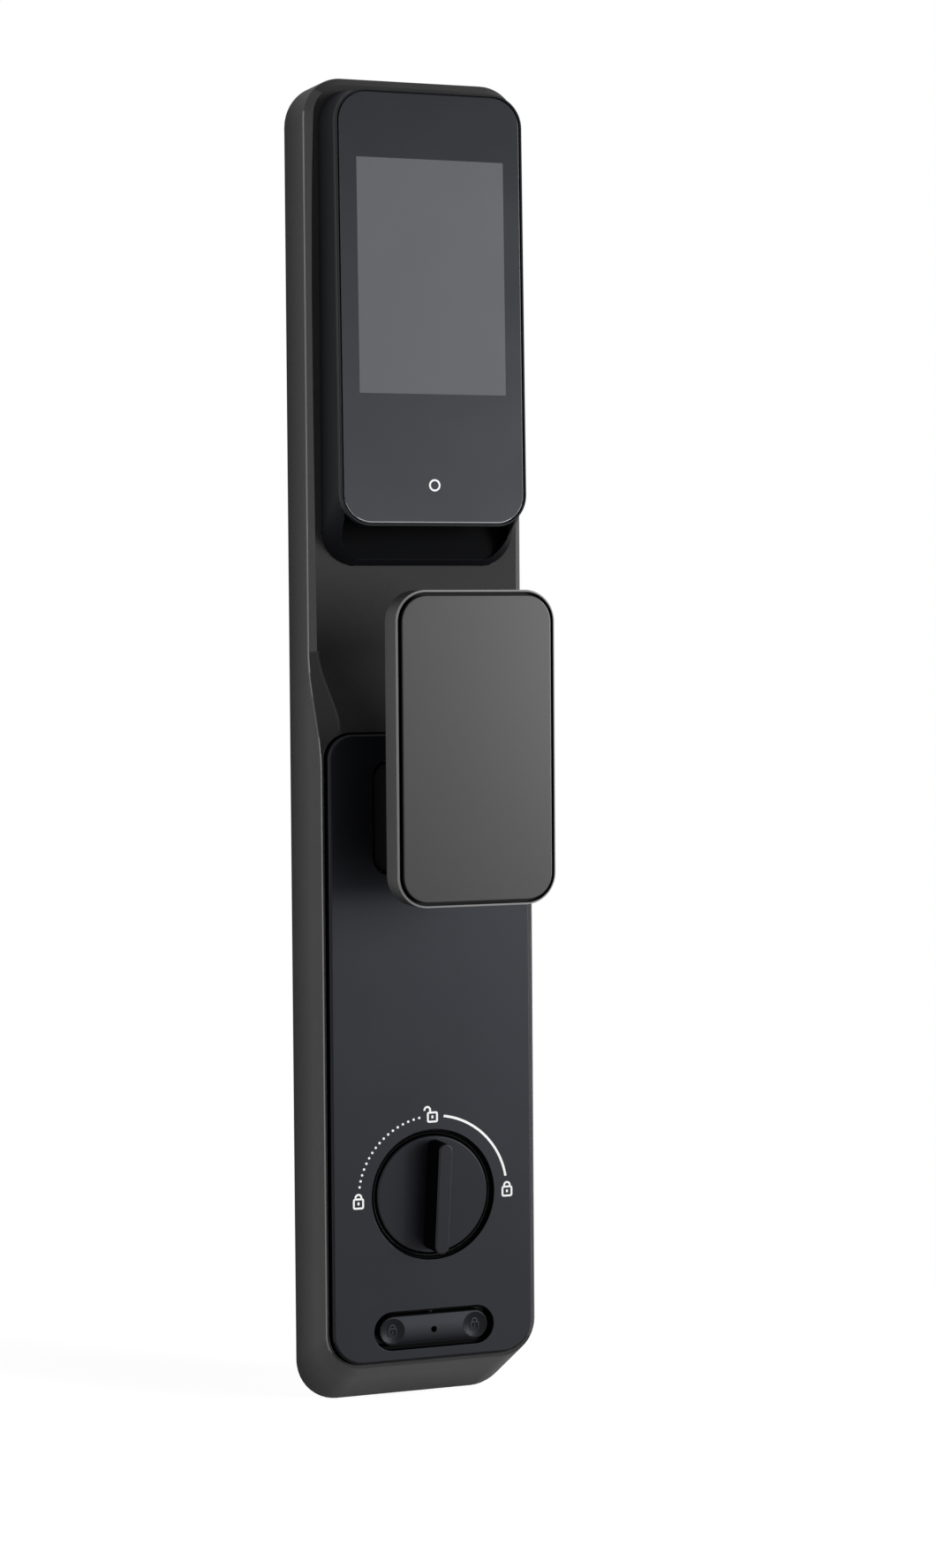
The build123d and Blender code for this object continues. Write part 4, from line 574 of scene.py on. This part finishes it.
def add_piece(name, mesh, body, finish_name, *nodes):
    """Links a finished mesh, puts it on a body, and lets it stand for the solids in nodes."""
    piece = bpy.data.objects.new(name, mesh)
    bpy.context.scene.collection.objects.link(piece)
    if not mesh.materials:
        mesh.materials.append(FINISHES[finish_name])
    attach(piece, body)
    if nodes:
        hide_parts(*nodes)


# Lengths and angles that decide which edges are rounded. A plane at NOWHERE meets no solid.
WELD_GAP = 0.01 * MM
FLAT_TURN = radians(0.2)
SHARP_TURN = radians(28)
SHORTEST_EDGE = 0.001 * MM
LENGTH_SHARE = 1.2
PLANE_GAP = 0.05 * MM
BEVEL_STEPS = 3
NOWHERE = 1.0


def merged_copy(node, width, limit, flat_y):
    """The solid's mesh with its triangles joined and its flat faces made whole. Its outward edges
    that are sharper than the limit carry a bevel weight, apart from those that are too short, lie
    beside a sliver or run in the plane at flat_y. Its other sharp edges stay sharp."""
    shape = bmesh.new()
    shape.from_mesh(frame["nodes"][node].data)
    bmesh.ops.remove_doubles(shape, verts=shape.verts, dist=WELD_GAP)
    bmesh.ops.dissolve_limit(shape, angle_limit=FLAT_TURN, verts=shape.verts, edges=shape.edges)
    weight = shape.edges.layers.float.new("bevel_weight_edge")
    for face in shape.faces:
        face.smooth = True
    for edge in shape.edges:
        turn = edge.calc_face_angle_signed(0)
        length = max(edge.calc_length(), SHORTEST_EDGE)
        beside = min([face.calc_area() / length for face in edge.link_faces], default=0)
        in_plane = all(abs(vertex.co.y - flat_y) < PLANE_GAP for vertex in edge.verts)
        rounded = turn > limit and length > LENGTH_SHARE * width and beside > width and not in_plane
        edge[weight] = 1.0 if rounded else 0.0
        edge.smooth = rounded or abs(turn) < limit
    mesh = bpy.data.meshes.new(node + "_soft")
    shape.to_mesh(mesh)
    shape.free()
    return mesh


def soften(node, width_mm, mark, flat_y=NOWHERE):
    """A copy of a solid with rounded edges, which replaces it. The function mark gives each face
    its share of the second look, from its middle, its normal and whether it is rounded."""
    width = width_mm * MM
    holder = bpy.data.objects.new(node + "_holder", merged_copy(node, width, SHARP_TURN, flat_y))
    bpy.context.scene.collection.objects.link(holder)
    # The bevel puts its faces in the second slot, which tells them from the others.
    holder.data.materials.clear()
    holder.data.materials.append(FINISHES[slot_of[node]])
    holder.data.materials.append(FINISHES[slot_of[node]])
    bevel = holder.modifiers.new("round_edges", "BEVEL")
    bevel.width = width
    bevel.segments = BEVEL_STEPS
    bevel.limit_method = "WEIGHT"
    bevel.use_clamp_overlap = False
    bevel.miter_outer = "MITER_ARC"
    bevel.material = 1
    weigh = holder.modifiers.new("flat_faces", "WEIGHTED_NORMAL")
    weigh.keep_sharp = True
    graph = bpy.context.evaluated_depsgraph_get()
    mesh = bpy.data.meshes.new_from_object(holder.evaluated_get(graph), depsgraph=graph)
    mesh.name = node + "_rounded"
    bpy.data.objects.remove(holder)

    # The mark edge says how much painted highlight or painted shade each face takes.
    marks = mesh.attributes.new("edge", "FLOAT", "FACE")
    for face in mesh.polygons:
        marks.data[face.index].value = mark(face.center, face.normal, face.material_index == 1)
        face.material_index = 0
    mesh.materials.clear()
    add_piece(node + "_rounded", mesh, body_of_node[node], slot_of[node], node)
    print(node, len(mesh.polygons), "faces")


# %% [markdown]
# ## Which faces count as an edge
#
# Most finishes of the visible solids have a second look, and a mark on each face says how much
# of it the face takes. The second look is painted light: a lighter colour is a painted highlight
# and a darker one a painted shade. The screen housing and the thumbturn's ring take a painted
# highlight on their rounded edges, where they shine a little more. The casing takes more of it
# where an edge turns to the side, less on the edges along its top and its foot, and a little on
# the bevel of its upper half. The handle frame takes it on its cut bevel, and the glass only along
# its lower edge. The bezel takes its lighter colour on the faces that don't look into the gap
# around the glass, and the walls that look into the gap stay near black as painted shade.
#
# On the panel, the knob, the handle plate and the rocker the second look is the darker one, a
# painted shade. It goes on the panel's walls and its shaded rim, on the upright faces of the knob,
# on the sides and most of the border of the handle plate, and on the rocker's sides and dimples.
# The stem, the mounting plate and the gasket have one look only, so their marks change nothing.
#
# A face looks forward by the part of its normal along -Y: below UPRIGHT it counts as a wall, and
# above FLAT_RIM as part of the flat front. TURNED is how far a normal must point to one side.

# %% Edge marks
UPRIGHT, FLAT_RIM, TURNED = 0.3, 0.97, 0.2
UPPER_FRONT = -19.2 * MM
UPPER_FOOT = 30 * MM
FOOT_LINE = -191 * MM
BEVEL_DEPTH = 1.0 * MM
RIM_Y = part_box("handle_frame")[0][1] + BEVEL_DEPTH
SCREEN_Z = (glass_low.z + glass_high.z) / 2
ROCKER_FRONT = rocker_low.y
EDGE_DEPTH, DISH_DEPTH = 0.1 * MM, 0.01 * MM


def rounded_only(middle, normal, is_rounded):
    """The rounded edges."""
    return 1.0 if is_rounded else 0.0


def shaded_rim(middle, normal, is_rounded):
    """The walls, most of the rim's lower side and some of its left side, which take the panel's painted
    shade.
    """
    if abs(normal.y) < UPRIGHT:
        return 1.0
    if -normal.y > FLAT_RIM:
        return 0.0
    return 0.9 if normal.z < -TURNED else 0.4 if normal.x < -TURNED else 0.0


def upright_faces(middle, normal, is_rounded):
    """The walls without their rounded edges, which take the knob's painted shade."""
    return 1.0 if abs(normal.y) < UPRIGHT and not is_rounded else 0.0


def casing_mark(middle, normal, is_rounded):
    """A share of painted highlight for each kind of rounded edge, and a little for the bevel of the upper
    half.
    """
    if not is_rounded:
        side_bevel = 0.5 < -normal.y < 0.8 and abs(normal.x) > 0.5 and middle.z > UPPER_FOOT
        return 0.18 if side_bevel else 0.0
    if middle.z > 0 and normal.z > 0.15:
        return 0.15
    if middle.z < FOOT_LINE:
        return 0.1
    if -normal.y < 0.75:
        return 1.0
    return 0.8 if middle.z < 0 else 0.1


def cut_bevel(middle, normal, is_rounded):
    """The painted highlight on the bevel at the front of the frame, a little less on its left and right
    sides.
    """
    sideways = abs(normal.x) + abs(normal.z)
    if -normal.y < UPRIGHT or middle.y > RIM_Y or sideways == 0:
        return 0.0
    return 1.0 - 0.35 * abs(normal.x) / sideways


def turned_out(middle, normal, is_rounded):
    """All faces but the walls that look in towards the middle of the screen; those walls stay near black as
    painted shade.
    """
    outwards = normal.x * middle.x + normal.z * (middle.z - SCREEN_Z)
    return 0.0 if outwards < 0 and abs(normal.y) < UPRIGHT else 1.0


def lower_edge(middle, normal, is_rounded):
    """The rounded edge that looks down, which takes a painted highlight."""
    return 1.0 if is_rounded and normal.z < -TURNED else 0.0


def dark_border(middle, normal, is_rounded):
    """The walls, and most of the border apart from its right side, which take the plate's painted shade."""
    if abs(normal.y) < UPRIGHT:
        return 1.0
    return 0.7 if -normal.y < 0.95 and normal.x < 0.3 else 0.0


def dimple_faces(middle, normal, is_rounded):
    """Everything that lies behind the front, the sides and the dimples, which take the rocker's painted
    shade.
    """
    depth = EDGE_DEPTH if is_rounded else DISH_DEPTH
    return 1.0 if middle.y > ROCKER_FRONT + depth else 0.0


# For each node: the width of its rounding in millimetres, its mark, and the plane that stays sharp.
EDGES = {
    "casing": (0.35, casing_mark, UPPER_FRONT),
    "lower_panel": (0.2, shaded_rim),
    "screen_housing": (0.4, rounded_only),
    "screen_bezel": (0.15, turned_out),
    "cover_glass": (0.3, lower_edge),
    "handle_frame": (0.12, cut_bevel),
    "handle_insert": (0.1, dark_border),
    "handle_stem": (0.4, rounded_only),
    "thumbturn_knob": (0.2, upright_faces),
    "thumbturn_bezel": (0.15, rounded_only),
    "lock_rocker": (0.15, dimple_faces),
    "mounting_plate": (0.2, rounded_only),
    "back_gasket": (0.2, rounded_only),
}
for node, settings in EDGES.items():
    soften(node, *settings)

# %% [markdown]
# ## Return springs
#
# A spring at each end of the slider holds it in the middle. Each one is a copy of its solid with
# the triangles joined, which takes the solid's place.

# %% Return springs
for node, low_body, high_body in (("lower_spring", "base", "slider"), ("upper_spring", "slider", "base")):
    coil = bpy.data.objects.new(node + "_coil", merged_copy(node, 0.0, pi, NOWHERE))
    bpy.context.scene.collection.objects.link(coil)
    coil.data.materials.clear()
    coil.data.materials.append(FINISHES[slot_of[node]])
    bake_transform(coil)
    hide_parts(node)
    print(coil.name, "joins", low_body, "and", high_body)

# %% [markdown]
# ## Printed marks
#
# White ink on the panel shows which way the thumbturn locks: an arc to the right, a row of
# dots to the left, a padlock at each end and an open one at the top. The dots repeat along an
# arc, which is work for Geometry Nodes: points are spread on the arc, a small disc is put on
# each point, and the result becomes a plain mesh.

# %% Ink
INK_DEPTH = 0.03 * MM
FINISHES["white_ink"] = finish("white_ink", tone(252, 252, 252), 0.6, specular=0.3, grain_mm=0.2,
                               grain_depth=0.004, drift=0.02)
turn_low, turn_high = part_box("thumbturn_bezel")
TURN_Z = (turn_low.z + turn_high.z) / 2
PANEL_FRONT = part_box("lower_panel")[0][1]
ARC_RADIUS = 25.2 * MM
ARC_SPAN = (radians(10.0), radians(81.5))
DOT_SPAN = (radians(100.5), radians(171.0))


def stand_up(mesh, y, z):
    """Turns a drawing in X and Y into one in X and Z that looks forward from depth y, about height z."""
    mesh.transform(Matrix(((1, 0, 0, 0), (0, 0, -1, y), (0, 1, 0, z), (0, 0, 0, 1))))


def tree_with(name, *sockets):
    """An empty Geometry Nodes tree with number inputs. Returns it, its input and its output node."""
    tree = bpy.data.node_groups.new(name, "GeometryNodeTree")
    tree.interface.new_socket("Geometry", in_out="OUTPUT", socket_type="NodeSocketGeometry")
    for label, kind in sockets:
        tree.interface.new_socket(label, in_out="INPUT", socket_type=kind)
    return tree, tree.nodes.new("NodeGroupInput"), tree.nodes.new("NodeGroupOutput")


def grown_mesh(name, tree, **values):
    """Runs a tree on an empty mesh with the given inputs, and returns its result as a plain mesh."""
    holder = bpy.data.objects.new(name + "_holder", bpy.data.meshes.new(name + "_seed"))
    bpy.context.scene.collection.objects.link(holder)
    modifier = holder.modifiers.new("grow", "NODES")
    modifier.node_group = tree
    for item in tree.interface.items_tree:
        if item.in_out == "INPUT":
            modifier[item.identifier] = values[item.name]
    graph = bpy.context.evaluated_depsgraph_get()
    mesh = bpy.data.meshes.new_from_object(holder.evaluated_get(graph), depsgraph=graph)
    mesh.name = name
    bpy.data.objects.remove(holder)
    return mesh


# %% Row of dots
DOT_COUNT, DOT_RADIUS = 17, 0.4 * MM
DOT_CORNERS = 12
DOT_ARC_STEPS = 64
tree, given, result = tree_with("dots_on_arc", ("Radius", "NodeSocketFloat"), ("Start", "NodeSocketFloat"),
                                ("Sweep", "NodeSocketFloat"), ("Count", "NodeSocketInt"),
                                ("Dot", "NodeSocketFloat"))
arc = new_node(tree, "GeometryNodeCurveArc", mode="RADIUS")
arc.inputs["Resolution"].default_value = DOT_ARC_STEPS
spread = new_node(tree, "GeometryNodeCurveToPoints", mode="COUNT")
disc = new_node(tree, "GeometryNodeMeshCylinder", fill_type="NGON")
disc.inputs["Vertices"].default_value = DOT_CORNERS
disc.inputs["Depth"].default_value = INK_DEPTH
put = new_node(tree, "GeometryNodeInstanceOnPoints")
real = new_node(tree, "GeometryNodeRealizeInstances")
ink = new_node(tree, "GeometryNodeSetMaterial")
ink.inputs["Material"].default_value = FINISHES["white_ink"]
tree.links.new(given.outputs["Radius"], arc.inputs["Radius"])
tree.links.new(given.outputs["Start"], arc.inputs["Start Angle"])
tree.links.new(given.outputs["Sweep"], arc.inputs["Sweep Angle"])
tree.links.new(arc.outputs["Curve"], spread.inputs["Curve"])
tree.links.new(given.outputs["Count"], spread.inputs["Count"])
tree.links.new(given.outputs["Dot"], disc.inputs["Radius"])
tree.links.new(spread.outputs["Points"], put.inputs["Points"])
tree.links.new(disc.outputs["Mesh"], put.inputs["Instance"])
tree.links.new(put.outputs[0], real.inputs[0])
tree.links.new(real.outputs[0], ink.inputs["Geometry"])
tree.links.new(ink.outputs[0], result.inputs[0])

dots = grown_mesh("dotted_arc", tree, Radius=ARC_RADIUS, Start=DOT_SPAN[0], Sweep=DOT_SPAN[1] - DOT_SPAN[0],
                  Count=DOT_COUNT, Dot=DOT_RADIUS)
stand_up(dots, PANEL_FRONT, TURN_Z)
add_piece("dotted_arc", dots, "base", "white_ink")
print("dots:", len(dots.polygons), "faces")

# %% [markdown]
# ## Lines of ink
#
# The arc, the padlocks and the ring on the glass are strokes of even width. A stroke is a strip
# of faces on both sides of a path, given a little thickness. One function draws any path, open
# or closed.

# %% Strokes
def stroke(shape, path, width, closed=False):
    """Adds a flat strip along a path of (x, y) points to a bmesh."""
    count = len(path)
    pairs = []
    for index, point in enumerate(path):
        before = path[(index - 1) % count] if closed or index > 0 else point
        after = path[(index + 1) % count] if closed or index < count - 1 else point
        along = Vector((after[0] - before[0], after[1] - before[1])).normalized()
        side = Vector((-along.y, along.x)) * width / 2
        pairs.append([(point[0] + side.x, point[1] + side.y), (point[0] - side.x, point[1] - side.y)])
    rows = [[[shape.verts.new((x, y, z)) for x, y in pair] for pair in pairs] for z in (0, INK_DEPTH)]
    last = count if closed else count - 1
    for index in range(last):
        (a, b), (c, d) = rows[1][index], rows[1][(index + 1) % count]
        (e, f), (g, h) = rows[0][index], rows[0][(index + 1) % count]
        for corners in ((a, b, d, c), (g, h, f, e), (a, c, g, e), (f, h, d, b)):
            shape.faces.new(corners)
    if not closed:
        shape.faces.new((rows[1][0][1], rows[1][0][0], rows[0][0][0], rows[0][0][1]))
        shape.faces.new((rows[1][-1][0], rows[1][-1][1], rows[0][-1][1], rows[0][-1][0]))


def turn_points(centre, radius, start, end, steps):
    """Points on a circle from one angle to another."""
    angles = [start + (end - start) * step / steps for step in range(steps + 1)]
    return [(centre[0] + radius * cos(angle), centre[1] + radius * sin(angle)) for angle in angles]


def mesh_of(name, shape):
    """A mesh from a bmesh, with its normals outwards."""
    bmesh.ops.recalc_face_normals(shape, faces=shape.faces)
    mesh = bpy.data.meshes.new(name)
    shape.to_mesh(mesh)
    shape.free()
    return mesh


def padlock(shape, centre, scale, line, opened):
    """A padlock: an outlined body, a keyhole dot and a shackle, which stands open or closed. The
    shackle's legs end where the line around the body begins."""
    width, height, corner = 3.1 * scale, 2.9 * scale, 0.4 * scale
    x, y = centre
    outline = []
    for sx, sy, start in ((1, 1, 0.0), (-1, 1, pi / 2), (-1, -1, pi), (1, -1, 1.5 * pi)):
        outline += turn_points((x + sx * (width / 2 - corner), y + sy * (height / 2 - corner)), corner,
                               start, start + pi / 2, 3)
    stroke(shape, outline, line, closed=True)
    stroke(shape, [(x, y + 0.5 * scale), (x, y - 0.4 * scale)], line * 1.1)
    reach = 0.96 * scale
    lift = (0.9 if opened else 0.5) * scale
    top = y + height / 2
    leg_end = top + line / 2
    middle = x - 1.74 * scale if opened else x
    arch = turn_points((middle, top + lift), reach, 0, pi, 10)
    tail = [(middle - reach, top + lift - 0.2 * scale)] if opened else [(middle - reach, leg_end)]
    stroke(shape, [(middle + reach, leg_end)] + arch + tail, line)


# %% Arc and padlocks on the panel
ARC_STEPS, ARC_LINE = 48, 0.78 * MM
shape = bmesh.new()
stroke(shape, turn_points((0, 0), ARC_RADIUS, ARC_SPAN[0], ARC_SPAN[1], ARC_STEPS), ARC_LINE)
marks = mesh_of("solid_arc", shape)
stand_up(marks, PANEL_FRONT, TURN_Z)
add_piece("solid_arc", marks, "base", "white_ink")

PADLOCK_LINE = 0.62 * MM
PADLOCKS = (((-25.3, -1.3), False), ((25.3, -0.6), False), ((-0.1, 24.8), True))
shape = bmesh.new()
for (x, z), opened in PADLOCKS:
    padlock(shape, (x * MM, z * MM), MM, PADLOCK_LINE, opened)
marks = mesh_of("padlock_marks", shape)
stand_up(marks, PANEL_FRONT, TURN_Z)
add_piece("padlock_marks", marks, "base", "white_ink")
print("padlocks:", len(PADLOCKS))

# %% [markdown]
# ## Ring on the glass
#
# A small ring below the display marks the touch key. The glass leans back a little, so the
# ring is turned by the same angle and laid on the glass.

# %% Ring mark
RING_Z = 81.9 * MM
RING_RADIUS, RING_LINE, RING_STEPS = 1.62 * MM, 0.6 * MM, 40
glass_points = [v.co for v in frame["nodes"]["cover_glass"].data.vertices]
front_low = min(glass_points, key=lambda p: p.y)
ring_y = front_low.y + (RING_Z - front_low.z) * sin(GLASS_SLOPE) / cos(GLASS_SLOPE)
shape = bmesh.new()
stroke(shape, turn_points((0, 0), RING_RADIUS, 0, 2 * pi, RING_STEPS)[:-1], RING_LINE, closed=True)
ring = mesh_of("ring_mark", shape)
ring.transform(Matrix.Translation((0, ring_y, RING_Z)) @ Matrix.Rotation(pi / 2 - GLASS_SLOPE, 4, "X"))
add_piece("ring_mark", ring, "base", "white_ink")
print("ring at", round(ring_y, 5))

# %% [markdown]
# ## Embossed padlocks on the rocker
#
# Each end of the rocker has a shallow round dimple with a small raised padlock. Both are drawn
# with the same strokes as the printed ones, in the rocker's own finish.

# %% Rocker reliefs
DIMPLE_X, DIMPLE_DEPTH = 14.0 * MM, 0.7 * MM
RELIEF_DROP, RELIEF_SCALE, RELIEF_LINE, RELIEF_DEPTH = 0.5 * MM, 0.85 * MM, 0.4 * MM, 0.35 * MM
shape = bmesh.new()
for x in (-DIMPLE_X, DIMPLE_X):
    padlock(shape, (x, -RELIEF_DROP), RELIEF_SCALE, RELIEF_LINE, False)
for corner in shape.verts:
    if corner.co.z > 0:
        corner.co.z = RELIEF_DEPTH
relief = mesh_of("rocker_reliefs", shape)
floor_y = ROCKER_FRONT + DIMPLE_DEPTH
stand_up(relief, floor_y, ROCKER_Z)
add_piece("rocker_reliefs", relief, "rocker", "button_satin")

# %% [markdown]
# ## Colour view
#
# The render shows its colours through the plain Standard view transform.

# %% View transform
bpy.context.scene.view_settings.view_transform = "Standard"
